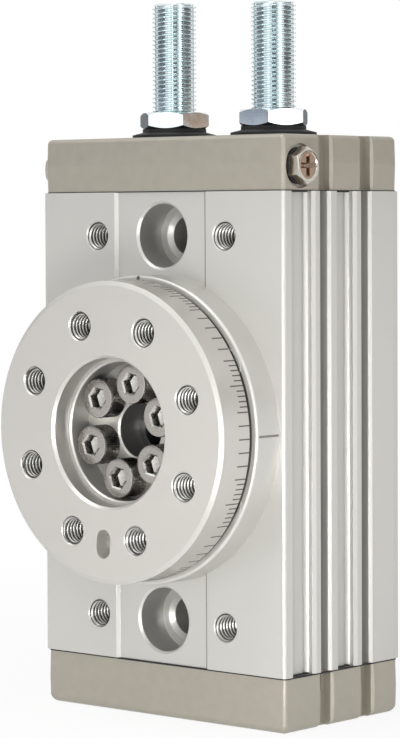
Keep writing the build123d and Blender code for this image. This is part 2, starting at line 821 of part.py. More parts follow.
def make_pinion():
    gear_start = gear_centre_at - gear_face_width / 2
    gear_end = gear_centre_at + gear_face_width / 2
    journal = rear_bearing_inner_diameter / 2
    bore = hollow_shaft_diameter / 2
    shaft_end = rear_bearing_at - shaft_end_inset
    gear = extrude(towards_table(gear_start) * pinion_section(), gear_face_width)
    shaft = turned_profile([
        (bore, shaft_end),
        (journal - 0.4, shaft_end),
        (journal, shaft_end + 0.4),
        (journal, rear_bearing_front),
        (journal + 1, rear_bearing_front),
        (journal + 1, gear_start + 0.5),
        (rack_tip_x - tip_clearance - 0.5, gear_start + 0.5),
        (rack_tip_x - tip_clearance - 0.5, gear_end - 0.5),
        (pinion_neck_diameter / 2, gear_end - 0.5),
        (pinion_neck_diameter / 2, flange_rear_at),
        (pinion_flange_diameter / 2, flange_rear_at),
        (pinion_flange_diameter / 2, front_bearing_at),
        (pinion_spigot_diameter / 2, front_bearing_at),
        (pinion_spigot_diameter / 2, web_rear_at),
        (bore, web_rear_at),
    ])
    hole_at = table_screw_seat - table_screw_length - 0.5
    tools = [disc(hollow_shaft_diameter, shaft_end - 1, web_rear_at + 1)]
    tools += around(table_screws_count, table_screw_circle, first_hole_angle,
                    lambda x, z: disc(2 * m5_screw[0], hole_at, web_rear_at + 1, x, z))
    tools += around(1, table_screw_circle, first_hole_angle + 180 / table_screws_count,
                    lambda x, z: disc(dowel_diameter, web_rear_at - dowel_length / 2, web_rear_at + 1, x, z))
    return at_rest(cut_all(gear + shaft, tools))


# Table and its ring

def make_table():
    outer = table_diameter / 2
    hub = front_bearing_inner_diameter / 2 + bearing_shoulder
    step_at = face_at - centring_depth
    solid = turned_profile([
        (web_hole_diameter / 2, web_rear_at),
        (web_hole_diameter / 2, bowl_floor_at - web_hole_chamfer),
        (web_hole_diameter / 2 + web_hole_chamfer, bowl_floor_at),
        (bowl_diameter / 2, bowl_floor_at),
        (bowl_diameter / 2, step_at - bowl_edge_chamfer),
        (bowl_diameter / 2 + bowl_edge_chamfer, step_at),
        (centring_diameter / 2, step_at),
        (centring_diameter / 2, face_at - centring_chamfer),
        (centring_diameter / 2 + centring_chamfer, face_at),
        (outer - table_edge_radial, face_at),
        (outer, face_at - table_edge_axial),
        (outer, table_rear_at + table_rear_chamfer),
        (outer - table_rear_chamfer, table_rear_at),
        (hub, table_rear_at),
        (hub, front_bearing_front),
        (front_bearing_inner_diameter / 2, front_bearing_front),
        (front_bearing_inner_diameter / 2, front_bearing_at),
        (pinion_spigot_diameter / 2 + spigot_clearance, front_bearing_at),
        (pinion_spigot_diameter / 2 + spigot_clearance, web_rear_at),
    ])
    mouth = payload_countersink_diameter
    sink = (mouth - payload_hole_diameter) / 2
    tools = around(payload_holes, payload_circle, first_hole_angle,
                   lambda x, z: disc(payload_hole_diameter, table_rear_at - 1, face_at + 1, x, z))
    tools += around(payload_holes, payload_circle, first_hole_angle,
                    lambda x, z: cone(mouth, payload_hole_diameter, face_at, face_at - sink, x, z))
    slot = Rot(0, 0, 90) * SlotOverall(slot_length, slot_width)
    tools.append(extrude(towards_table(face_at - slot_depth) * Pos(0, -payload_circle / 2) * slot, slot_depth + 1))
    clear = 2 * (m5_screw[0] + screw_clearance)
    tools += around(table_screws_count, table_screw_circle, first_hole_angle,
                    lambda x, z: disc(clear, web_rear_at - 1, bowl_floor_at + 1, x, z))
    tools += around(1, table_screw_circle, first_hole_angle + 180 / table_screws_count,
                    lambda x, z: disc(dowel_diameter, web_rear_at - 1, web_rear_at + dowel_length / 2, x, z))
    return at_rest(cut_all(solid, tools))


def make_table_screws():
    screw = cap_screw(m5_screw, table_screw_length)
    plane = towards_table(table_screw_seat).location
    screws = around(table_screws_count, table_screw_circle, first_hole_angle,
                    lambda x, z: plane * Pos(x, z) * screw)
    return joined(at_rest(screw) for screw in screws)


def make_dowel():
    pins = around(1, table_screw_circle, first_hole_angle + 180 / table_screws_count,
                  lambda x, z: disc(dowel_diameter, web_rear_at - dowel_length / 2,
                                    web_rear_at + dowel_length / 2, x, z))
    return at_rest(pins[0])


def make_ring():
    outer = ring_diameter / 2
    lip = front_bearing_inner_diameter / 2 + bearing_shoulder + ring_hub_clearance
    solid = turned_profile([
        (outer, body_depth),
        (outer, ring_front_at),
        (lip, ring_front_at),
        (lip, front_bearing_front),
        (front_bearing_outer_diameter / 2, front_bearing_front),
        (front_bearing_outer_diameter / 2, body_depth),
    ])
    rim = solid.edges().filter_by(GeomType.CIRCLE).filter_by(lambda edge: abs(edge.radius - outer) < 0.01)
    solid = fillet(rim.group_by(Axis.Y)[0], ring_edge_radius)
    clear = 2 * (m4_low_screw[0] + screw_clearance)
    recess = 2 * (m4_low_screw[1] + head_clearance)
    tools = around(ring_screws_count, ring_screw_circle, 30,
                   lambda x, z: disc(clear, body_depth - 1, ring_front_at, x, z))
    tools += around(ring_screws_count, ring_screw_circle, 30,
                    lambda x, z: disc(recess, ring_screw_seat, ring_front_at + 1, x, z))
    dimple_at = ring_front_at - dimple_depth
    tools.append(disc(dimple_diameter, dimple_at, ring_front_at + 1, 0, outer - ring_edge_radius))
    return cut_all(solid, tools)


def make_ring_screws():
    screw = cap_screw(m4_low_screw, ring_screw_length)
    plane = towards_table(ring_screw_seat).location
    return joined(around(ring_screws_count, ring_screw_circle, 30, lambda x, z: plane * Pos(x, z) * screw))


# Bearings

def ball_size(inner_diameter, outer_diameter):
    """Ball diameter as a share of the bearing's section."""
    return ball_share * (outer_diameter - inner_diameter) / 2


def race(inner_diameter, outer_diameter, start, width, is_inner):
    """Inner or outer ring with its ball track."""
    wall = race_wall_share * (outer_diameter - inner_diameter) / 2
    low, high = (inner_diameter / 2, inner_diameter / 2 + wall) if is_inner else \
        (outer_diameter / 2 - wall, outer_diameter / 2)
    ring = turned_profile([(low, start), (high, start), (high, start + width), (low, start + width)])
    track_radius = (inner_diameter + outer_diameter) / 4
    track = Torus(track_radius, ball_size(inner_diameter, outer_diameter) / 2 + race_clearance)
    return ring - Pos(0, -start - width / 2, 0) * Rot(90, 0, 0) * track


def ball_set(count, inner_diameter, outer_diameter, start, width):
    """The balls of one bearing, spaced evenly on their pitch circle."""
    middle = start + width / 2
    circle = (inner_diameter + outer_diameter) / 2
    ball = Sphere(ball_size(inner_diameter, outer_diameter) / 2)
    return around(count, circle, 0, lambda x, z: Pos(x, -middle, z) * ball)


front_bearing = (front_bearing_inner_diameter, front_bearing_outer_diameter, front_bearing_at, front_bearing_width)
rear_bearing = (rear_bearing_inner_diameter, rear_bearing_outer_diameter, rear_bearing_at, rear_bearing_width)


def export(name, shape):
    export_step(shape, f"parts/{name}.step")


os.makedirs("parts", exist_ok=True)

export("body", make_body())
export("top_cover", make_top_cover())
export("end_cover", make_end_cover())
export("channel_plate", make_channel_plate())
export("channel_seal", make_channel_seal())
export("end_gasket", make_end_gasket())
export("top_cover_screws", make_cover_screws(1))
export("end_cover_screws", make_cover_screws(-1))
export("side_port_plugs", make_port_plugs())
export("plug_gaskets", make_plug_gaskets())
export("seal_washers", make_seal_washers())
export("end_pads", make_end_pads())
export("bearing_retainer", make_ring())
export("retainer_screws", make_ring_screws())
export("table", make_table())
export("table_screws", make_table_screws())
export("table_dowel", make_dowel())
export("pinion", make_pinion())
export("front_bearing_outer_ring", race(*front_bearing, is_inner=False))
export("front_bearing_inner_ring", race(*front_bearing, is_inner=True))
export("front_bearing_balls", joined(ball_set(front_bearing_balls, *front_bearing)))
export("rear_bearing_outer_ring", race(*rear_bearing, is_inner=False))
export("rear_bearing_inner_ring", race(*rear_bearing, is_inner=True))
export("rear_bearing_balls", joined(ball_set(rear_bearing_balls, *rear_bearing)))

for side_name, sign, stand, nut_angle in (
        ("left", -1, left_bolt_stand, left_nut_angle),
        ("right", 1, right_bolt_stand, right_nut_angle)):
    export(f"{side_name}_adjust_bolt", make_bolt(sign, stand))
    export(f"{side_name}_bolt_pad", make_bolt_pad(sign))
    export(f"{side_name}_lock_nut", make_lock_nut(sign, nut_angle))
    export(f"{side_name}_rack_piston", make_piston(sign))
    export(f"{side_name}_piston_seals", make_head_rings(sign, 0))
    export(f"{side_name}_wear_rings", make_head_rings(sign, 1))
    export(f"{side_name}_magnet", make_magnet(sign))
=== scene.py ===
import json
from math import atan2, cos, hypot, pi, radians, sin, tan

import bmesh
import bpy
from bpy.props import FloatProperty, FloatVectorProperty, IntProperty, PointerProperty
from mathutils import Matrix, Quaternion, Vector


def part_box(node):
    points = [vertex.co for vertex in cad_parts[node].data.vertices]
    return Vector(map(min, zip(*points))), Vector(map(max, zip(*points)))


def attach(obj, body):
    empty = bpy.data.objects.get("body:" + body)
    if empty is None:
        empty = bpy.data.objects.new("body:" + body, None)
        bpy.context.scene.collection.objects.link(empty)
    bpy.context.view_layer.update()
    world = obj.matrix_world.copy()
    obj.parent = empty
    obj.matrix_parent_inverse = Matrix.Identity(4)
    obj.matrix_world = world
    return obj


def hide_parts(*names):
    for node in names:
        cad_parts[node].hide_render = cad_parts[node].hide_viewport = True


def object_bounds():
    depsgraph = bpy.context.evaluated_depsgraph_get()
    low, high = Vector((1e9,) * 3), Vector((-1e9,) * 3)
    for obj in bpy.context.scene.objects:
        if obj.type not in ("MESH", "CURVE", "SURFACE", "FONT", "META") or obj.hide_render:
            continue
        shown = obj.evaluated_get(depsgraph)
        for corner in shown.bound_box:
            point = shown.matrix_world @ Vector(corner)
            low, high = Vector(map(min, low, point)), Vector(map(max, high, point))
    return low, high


bl_info = {
    "name": "Pneumatic Rotary Table",
    "version": (1, 0, 0),
    "blender": (4, 5, 0),
    "location": "View3D > Sidebar > Rotary Table",
    "description": "Threads, screws, scale and finishes for the packed rotary table",
    "category": "Object",
}

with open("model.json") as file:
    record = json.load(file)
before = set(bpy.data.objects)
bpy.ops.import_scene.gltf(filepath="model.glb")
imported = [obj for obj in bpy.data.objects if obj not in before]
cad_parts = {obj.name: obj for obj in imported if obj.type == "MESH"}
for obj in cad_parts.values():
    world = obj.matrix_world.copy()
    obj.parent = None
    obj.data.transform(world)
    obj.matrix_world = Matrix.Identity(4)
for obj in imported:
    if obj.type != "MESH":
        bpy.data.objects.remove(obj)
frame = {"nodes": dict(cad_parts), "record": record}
cad_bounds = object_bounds()

MM = 0.001
TOWARDS_TABLE = Matrix.Rotation(radians(90), 4, "X")
TOWARDS_REAR = Matrix.Rotation(radians(-90), 4, "X")

# Lengths in metres: vertices closer than this to a plane count as lying in it
NEAR = 1e-6

# An edge between faces that turn more than this stays sharp
SHARP_EDGE = radians(35)

# Depth of the cone at a socket's floor, as a share of the width across flats, and the size of its tip
SOCKET_CONE = 0.3
SOCKET_CONE_TIP = 0.02

# How far a tapped hole's ridge keeps off the hole's wall, starts below the face, and stays below it
RIDGE_CLEARANCE = 0.005 * MM
RIDGE_START = 0.1 * MM
RIDGE_BELOW_FACE = 0.02 * MM

PLUG_SEGMENTS = 48

# Angles of the retainer screws that have a cap over them, in degrees
COVERED_SCREWS = (30, 150, 210, 270, 330)

# The picture's size, the lens's focal length and the picture's centre, in pixels
PICTURE = (400, 738)
FOCAL_LENGTH = 2895.108
PICTURE_CENTRE = (201.656, 317.855)
SENSOR = 36

# What the camera looks at and how far it is, in millimetres, and its bearings in radians
CAMERA_TARGET = (-0.9683, -25.0, 23.6601)
CAMERA_DISTANCE = 642.576
CAMERA_AZIMUTH = 0.7171069
CAMERA_ELEVATION = 0.0343163
CAMERA_ROLL = -0.0040111

# Lamps: name, place, aim, width, watts, and height where they aren't square
MIDDLE = (0.0, -0.02, 0.0)
LAMPS = (
    ("near light", (0.11, -0.19, -0.035), (0.01, -0.04, -0.02), 0.06, 0.19, None),
    ("camera side light", (0.59, -0.68, 0.03), MIDDLE, 0.40, 1.7, 0.9),
    ("front strip", (0.19, -0.90, 0.10), MIDDLE, 0.25, 0.3, 0.9),
    ("side strip", (0.90, -0.17, 0.10), MIDDLE, 0.25, 1.1, 0.9),
    ("rear side light", (0.42, 0.42, 0.0), (0.035, -0.02, 0.0), 0.30, 0.03, None),
    ("top light", (-0.2, -0.45, 0.95), MIDDLE, 0.6, 3.4, None),
)

# Cards for gloss: name, first and last bearing from the front, lower and upper edge in millimetres, colour
CARD_RADIUS = 300
REFLECTORS = (
    ("left reflector", -76, -16, 81.5, 130, (0.16, 0.17, 0.19)),
    ("camera side reflector", 32, 60, 53, 130, (0.13, 0.14, 0.14)),
    ("right reflector", 104, 165, 81.5, 130, (0.17, 0.15, 0.14)),
    ("rear reflector", 192, 226, 60, 130, (0.20, 0.20, 0.21)),
    ("rear left reflector", 246, 268, 60, 130, (0.20, 0.20, 0.21)),
    ("left nut reflector", -76, -16, 71, 81.5, (0.43, 0.45, 0.56)),
    ("right nut reflector", 104, 165, 71, 81.5, (0.48, 0.29, 0.185)),
)


# Settings that a user would change

def length(name, description, millimetres):
    return FloatProperty(name=name, description=description, default=millimetres * MM, min=0.0,
                         precision=5, unit="LENGTH", subtype="DISTANCE")


def angle(name, description, degrees):
    return FloatProperty(name=name, description=description, default=radians(degrees), unit="ROTATION",
                         subtype="ANGLE")


def count(name, description, number):
    return IntProperty(name=name, description=description, default=number, min=1)


def share(name, description, value):
    return FloatProperty(name=name, description=description, default=value, min=0.0, max=1.0,
                         subtype="FACTOR")


def colour(name, description, *value):
    return FloatVectorProperty(name=name, description=description, default=value, size=3, min=0.0, max=1.0,
                               subtype="COLOR")


class ThreadSizes(bpy.types.PropertyGroup):
    bolt_pitch: length("Bolt pitch", "Rise of one turn of an adjustment bolt's thread", 1.0)
    bolt_thread_depth: length("Bolt thread depth", "Depth of that thread", 0.58)
    bolt_end_chamfer: length("Bolt end chamfer", "Chamfer at both ends of an adjustment bolt", 0.5)
    bolt_socket: length("Bolt socket", "Across the flats of the socket in a bolt's end", 5.0)
    bolt_socket_depth: length("Bolt socket depth", "Depth of that socket", 5.0)
    bolt_socket_chamfer: length("Bolt socket chamfer", "Chamfer round that socket's mouth", 0.2)
    hole_radius: length("Hole radius", "Radius of the wall that the M6 threads are cut in", 3.0)
    hole_pitch: length("Hole pitch", "Rise of one turn of the M6 threads", 1.0)
    hole_mouth: length("Hole mouth", "Radius of an M6 hole's countersink at the face", 3.3)
    rear_radius: length("Rear hole radius", "Radius of the M10 holes in the rear face", 5.0)
    rear_pitch: length("Rear hole pitch", "Rise of one turn of the M10 threads", 1.5)
    rear_mouth: length("Rear hole mouth", "Radius of an M10 hole's countersink at the face", 5.5)


class PatternSizes(bpy.types.PropertyGroup):
    table_circle: length("Table hole circle", "Diameter of the circle of M6 holes in the table", 48.0)
    table_holes: count("Table holes", "Number of M6 holes in the table", 8)
    screw_circle: length("Screw circle", "Diameter of the circle of cap screws", 20.8)
    screws: count("Cap screws", "Number of cap screws in the table", 6)
    first_angle: angle("First hole angle", "Angle of the first hole and the first cap screw at rest", 19.4)
    face_width: length("Front hole width", "Distance across between the front M6 holes", 37.0)
    face_height: length("Front hole height", "Distance up between the front M6 holes", 84.0)
    face_at: length("Front face", "Depth of the body from its rear face", 40.0)
    face_hole_depth: length("Front hole depth", "Depth of the front M6 holes", 10.0)
    rear_hole_depth: length("Rear hole depth", "Depth of the rear M10 threads", 15.0)
    table_at: length("Table face", "Distance of the table's face from the rear face", 57.0)
    table_thickness: length("Table thickness", "Thickness of the table's flange", 9.0)


class ScrewSizes(bpy.types.PropertyGroup):
    radius: length("Thread radius", "Outer radius of a cap screw's thread", 2.45)
    pitch: length("Thread pitch", "Rise of one turn of a cap screw's thread", 0.8)
    head_radius: length("Head radius", "Radius of a cap screw's head", 4.25)
    head_height: length("Head height", "Height of a cap screw's head", 5.0)
    shank: length("Shank", "Length of a cap screw under its head", 14.0)
    edge: length("Head edge", "Rounding of the head's upper edge", 0.45)
    seat_edge: length("Seat edge", "Height of the chamfer round the head's underside", 0.25)
    knurl: length("Knurl depth", "Depth of the knurl on the head", 0.12)
    knurls: count("Knurls", "Number of grooves round the head", 56)
    socket: length("Socket", "Across the flats of the head's socket", 4.0)
    socket_depth: length("Socket depth", "Depth of the head's socket", 2.5)
    socket_chamfer: length("Socket chamfer", "Chamfer round the socket's mouth", 0.32)
    seat_at: length("Screw seat", "Distance of the screws' seat from the rear face", 46.7)


class PlugSizes(bpy.types.PropertyGroup):
    across_flats: length("Plug across flats", "Across the flats of a plug's head", 7.0)
    height: length("Plug height", "Height of a plug's head", 2.7)
    head_chamfer: angle("Head chamfer", "Slope of the chamfer on a plug's head", 32.0)
    face_radius: length("Face radius", "Radius where the head's chamfer starts", 3.35)
    rim: length("Rim", "Width of the raised rim round the face", 0.45)
    sink: length("Sink", "Depth of the face under the rim", 0.22)
    cross_width: length("Cross width", "Width of the cross recess at the face", 1.15)
    cross_length: length("Cross length", "Length of the cross recess at the face", 4.7)
    cross_depth: length("Cross depth", "Depth of the cross recess", 1.7)
    cross_taper: share("Cross taper", "Size of the recess's floor against its mouth", 0.3)
    seat_x: length("Seat", "Distance of the head's seat from the middle plane", 34.3)
    at: length("Plug depth", "Distance of the plug's axis from the rear face", 34.0)
    z: length("Plug axis height", "Distance of the plug's axis above the middle", 56.8)
    thread_radius: length("Plug thread radius", "Outer radius of the plug's thread", 2.45)
    thread_length: length("Plug thread length", "Length of the plug's thread", 5.0)
    thread_chamfer: length("Plug thread chamfer", "Chamfer at the end of the plug's thread", 0.3)


class ScaleSizes(bpy.types.PropertyGroup):
    rim_radius: length("Rim radius", "Radius of the table's rim", 32.5)
    rear_at: length("Rear edge", "Distance of the rim's rear edge from the rear face", 48.3)
    long_tick: length("Long tick", "Length of the tick at each hole", 4.1)
    medium_tick: length("Medium tick", "Length of the ticks five degrees apart", 3.4)
    short_tick: length("Short tick", "Length of the ticks two degrees apart", 2.4)
    width: length("Tick width", "Width of a tick", 0.28)
    proud: length("Mark relief", "How far a printed mark stands proud", 0.012)
    mark_depth: length("Mark depth", "Thickness of a printed mark, mostly inside the wall", 0.1)
    index_radius: length("Index radius", "Radius of the retainer's wall", 33.5)
    index_width: length("Index width", "Width of the index mark", 0.5)
    index_from: length("Index start", "Distance of the index mark's rear end from the rear face", 40.0)
    index_to: length("Index end", "Distance of the index mark's front end from the rear face", 46.4)


class GapSizes(bpy.types.PropertyGroup):
    face_at: length("Retainer face", "Distance of the retainer's face from the rear face", 47.0)
    relief: length("Cap height", "How far the caps and the shade ring stand off that face", 0.1)
    cap_circle: length("Cap circle", "Diameter of the circle of screws under the caps", 57.0)
    cap_radius: length("Cap radius", "Radius of a cap over a retainer screw", 4.32)
    cap_sink: length("Cap sink", "How far a cap reaches into the retainer", 0.05)
    # Painted shade: a dark ring stands in for the shade that falls in the gap behind the table's rim.
    shade_inner: length("Shade ring inner radius", "Inner radius of the dark ring in the gap", 30.0)
    shade_outer: length("Shade ring outer radius", "Outer radius of the dark ring in the gap", 32.05)
    shade_sink: length("Shade ring sink", "How far the dark ring reaches into the retainer", 0.1)
    band_half_width: length("Band half width", "Distance of the band's steps from the middle", 12.8)
    band_at: length("Band face", "Distance of the band's face from the rear face", 39.2)
    # Painted shade: a dark strip in the band's corner stands in for the shade at the step.
    corner_shade_line: length("Corner line", "Width of the painted shade line in the band's corner", 0.42)
    line_depth: length("Corner line depth", "Thickness of that line", 0.1)
    line_sink: length("Corner line sink", "How far the middle of that line lies under the band's face", 0.02)


class SealSizes(bpy.types.PropertyGroup):
    joint_z: length("Joint height", "Distance of the cover joints from the middle", 51.5)
    thickness: length("Seal edge", "Height of the seal that shows in a channel", 0.25)
    front_channel_rear: length("Front channel rear", "Rear side of the front channel's seal edge", 30.6)
    front_channel_front: length("Front channel front", "Front side of the front channel's seal edge", 37.2)
    rear_channel_rear: length("Rear channel rear", "Rear side of the rear channel's seal edge", 16.4)
    rear_channel_front: length("Rear channel front", "Front side of the rear channel's seal edge", 21.9)
    inner_x: length("Seal inner side", "Distance of the seal edge's inner side from the middle plane", 31.9)
    outer_x: length("Seal outer side", "Distance of the seal edge's outer side from the middle plane", 33.9)
    cover_half_width: length("Cover half width", "Distance of a cover's sides from the middle plane", 34.7)
    cover_front: length("Cover front", "Distance of a cover's front from the rear face", 39.55)
    cover_rear: length("Cover rear", "Distance of a cover's rear from the rear face", 0.45)
    lower_line: length("Lower joint line", "Height of the dark joint under the body", 0.34)
    upper_line: length("Upper joint line", "Height of the dark joint over the body", 0.16)
    line_proud: length("Joint line relief", "How far the dark joints stand off a cover's sides", 0.03)


class Finishes(bpy.types.PropertyGroup):
    anodised: colour("Body", "Satin clear anodised extrusion", 0.555, 0.548, 0.518)
    table: colour("Table", "Turned and satin clear anodised", 0.545, 0.53, 0.496)
    # Painted highlight: the two edge colours lighten slanted chamfers, countersinks and screw edges as if
    # they caught the light.
    bright: colour("Table edge highlight", "Chamfers of the table, lightened as a painted highlight", 0.56, 0.55, 0.52)
    body_edge_highlight: colour("Body edge highlight", "Chamfers and countersinks of the body, and the screws' edges",
                        0.61, 0.60, 0.572)
    root: colour("Thread roots", "Shade between the ridges of the tapped holes", 0.035, 0.033, 0.030)
    cast: colour("Covers", "Die casting in warm grey", 0.385, 0.357, 0.302)
    zinc: colour("Zinc", "Bright zinc plate on bolts and nuts", 0.74, 0.82, 0.84)
    nickel: colour("Cap screws", "Nickel plate on the cap screws", 0.41, 0.385, 0.358)
    plug: colour("Plug", "Face of the port plugs, in brownish nickel", 0.36, 0.265, 0.205)
    # Painted highlight: the plugs' flanks and rim get a lighter copy of the nickel that the face has.
    plug_flank_highlight: colour("Plug flanks", "Flanks and rim of the port plugs", 0.56, 0.52, 0.455)
    steel: colour("Steel", "Ground bearing steel", 0.48, 0.49, 0.50)
    ball: colour("Ball", "Polished bearing balls", 0.62, 0.63, 0.64)
    shaft: colour("Shaft", "Nitrided shaft and pistons", 0.24, 0.24, 0.245)
    plate: colour("Plate", "Milled aluminium plate", 0.54, 0.54, 0.54)
    rubber: colour("Rubber", "Black seals and pads", 0.008, 0.008, 0.009)
    resin: colour("Resin", "Wear rings", 0.50, 0.46, 0.36)
    magnet: colour("Magnet", "Sintered magnets", 0.035, 0.035, 0.038)
    # Painted shade: this colour also darkens the ring in the gap behind the table.
    marks_and_gap_shade: colour("Marks", "Scale marks, and the painted shade ring in the gap", 0.085, 0.078, 0.066)
    # Painted shade: the index colour also darkens the strip in the front band's corner.
    index: colour("Index", "Index mark and the painted shade line in the front band's corner", 0.19, 0.175, 0.155)
    edge_radius: length("Edge radius", "Rounding that bare edges show in their gloss", 0.14)


# Painted shade: the walls below keep only a share of their colour.
class WallShades(bpy.types.PropertyGroup):
    bore_radius: length("Bore radius", "Walls this near to a through hole's axis are in its shade", 8.5)
    narrow_radius: length("Narrow radius", "Walls this near are in the shade of its narrow part", 3.9)
    bowl_radius: length("Bowl radius", "Walls this near to the table's axis are in the bowl's shade", 17.0)
    hollow_radius: length("Hollow radius", "Walls this near are in the shade of the bowl's hole", 8.0)
    bore: share("Bore shade", "Share of its colour that a counterbore's wall keeps", 0.60)
    narrow: share("Narrow shade", "Share that the wall of the narrow part keeps", 0.35)
    bowl: share("Bowl shade", "Share that the bowl's wall keeps", 0.70)
    hollow: share("Hollow shade", "Share that the wall of the bowl's hole keeps", 0.25)
    head: share("Head shade", "Share that the side of a cap screw's head keeps", 0.38)


class StageSettings(bpy.types.PropertyGroup):
    background: colour("Background", "Backdrop, and the floor far from the object", 1.0, 1.0, 1.0)
    floor: colour("Floor", "Floor under the object", 0.86, 0.86, 0.86)
    floor_reach: length("Floor reach", "Half the side of the floor", 12000.0)
    ambient: share("Ambient", "Level of the light from all round", 0.60)
    floor_shadow: share("Floor shadow", "Share of the floor's own shading that shows", 0.12)
    shadow_from: length("Shadow start", "Distance from the middle where that shading starts to fade", 100.0)
    shadow_to: length("Shadow end", "Distance from the middle where it is gone", 320.0)


class RotaryTableSettings(bpy.types.PropertyGroup):
    threads: PointerProperty(type=ThreadSizes)
    patterns: PointerProperty(type=PatternSizes)
    screws: PointerProperty(type=ScrewSizes)
    plugs: PointerProperty(type=PlugSizes)
    scale: PointerProperty(type=ScaleSizes)
    gap: PointerProperty(type=GapSizes)
    seals: PointerProperty(type=SealSizes)
    finishes: PointerProperty(type=Finishes)
    walls: PointerProperty(type=WallShades)
    stage: PointerProperty(type=StageSettings)


def settings():
    return bpy.context.scene.rotary_table


# Shader nodes

FLOAT = "NodeSocketFloat"
COLOUR = "NodeSocketColor"
VECTOR = "NodeSocketVector"


def new_group(name, inputs, outputs):
    """Empty shader node group with its own inputs and outputs."""
    tree = bpy.data.node_groups.new(name, "ShaderNodeTree")
    for label, kind, value in inputs:
        tree.interface.new_socket(name=label, in_out="INPUT", socket_type=kind).default_value = value
    for label, kind in outputs:
        tree.interface.new_socket(name=label, in_out="OUTPUT", socket_type=kind)
    return tree, tree.nodes.new("NodeGroupInput").outputs, tree.nodes.new("NodeGroupOutput")


def new_material(name):
    """Empty material and its node tree."""
    material = bpy.data.materials.new(name)
    material.use_nodes = True
    return material, material.node_tree


def feed(tree, node, inputs):
    """Links a socket to each input of a node, or sets a value there."""
    for label, value in inputs.items():
        if isinstance(value, bpy.types.NodeSocket):
            tree.links.new(value, node.inputs[label])
        else:
            node.inputs[label].default_value = value


def add(tree, kind, inputs=None, **options):
    """Adds a node with its options and its inputs."""
    made = tree.nodes.new(kind)
    for key, value in options.items():
        setattr(made, key, value)
    feed(tree, made, inputs or {})
    return made


def maths(tree, operation, *inputs, **options):
    """Result of a sum on sockets or numbers."""
    return add(tree, "ShaderNodeMath", dict(enumerate(inputs)), operation=operation, **options).outputs[0]


def vectors(tree, operation, inputs, result="Vector"):
    """Result of a sum on vectors."""
    return add(tree, "ShaderNodeVectorMath", inputs, operation=operation).outputs[result]


def ramp(tree, value, low, high, to_low, to_high, smooth=True):
    """Takes a value from one range to another, and holds it at the ends."""
    limits = {"Value": value, "From Min": low, "From Max": high, "To Min": to_low, "To Max": to_high}
    kind = "SMOOTHSTEP" if smooth else "LINEAR"
    return add(tree, "ShaderNodeMapRange", limits, interpolation_type=kind).outputs["Result"]


def object_place(tree):
    """The object's own coordinates."""
    return add(tree, "ShaderNodeTexCoord").outputs["Object"]


def grain_group():
    """Fine noise on the object's own coordinates, drawn out along the axes by the stretch."""
    tree, given, end = new_group(
        "Fine grain",
        [("Stretch", VECTOR, (1.0, 1.0, 1.0)), ("Scale", FLOAT, 3000.0), ("Detail", FLOAT, 2.0)],
        [("Height", FLOAT)])
    drawn = vectors(tree, "MULTIPLY", {0: object_place(tree), 1: given["Stretch"]})
    noise = add(tree, "ShaderNodeTexNoise", {"Vector": drawn, "Scale": given["Scale"],
                                             "Detail": given["Detail"], "Roughness": 0.55})
    feed(tree, end, {"Height": noise.outputs["Fac"]})
    return tree


def rings_group():
    """Fine turned marks round the table's axis."""
    tree, given, end = new_group("Turned marks", [("Scale", FLOAT, 5000.0)], [("Height", FLOAT)])
    flat = vectors(tree, "MULTIPLY", {0: object_place(tree), 1: (1.0, 0.0, 1.0)})
    radius = vectors(tree, "LENGTH", {0: flat}, "Value")
    noise = add(tree, "ShaderNodeTexNoise", {"W": radius, "Scale": given["Scale"], "Detail": 3.0},
                noise_dimensions="1D")
    feed(tree, end, {"Height": noise.outputs["Fac"]})
    return tree


def tone_group():
    """A colour and a gloss that vary softly over the surface by the same broad noise."""
    tree, given, end = new_group(
        "Soft variation",
        [("Colour", COLOUR, (0.5, 0.5, 0.5, 1.0)), ("Amount", FLOAT, 0.06), ("Roughness", FLOAT, 0.4),
         ("Gloss amount", FLOAT, 0.05), ("Scale", FLOAT, 60.0)],
        [("Colour", COLOUR), ("Roughness", FLOAT)])
    noise = add(tree, "ShaderNodeTexNoise", {"Vector": object_place(tree), "Scale": given["Scale"],
                                             "Detail": 4.0, "Roughness": 0.6})
    centred = maths(tree, "SUBTRACT", noise.outputs["Fac"], 0.5)
    shade = maths(tree, "MULTIPLY_ADD", centred, given["Amount"], 1.0)
    gloss = maths(tree, "MULTIPLY_ADD", centred, given["Gloss amount"], given["Roughness"], use_clamp=True)
    feed(tree, end, {"Colour": vectors(tree, "SCALE", {0: given["Colour"], "Scale": shade}),
                     "Roughness": gloss})
    return tree


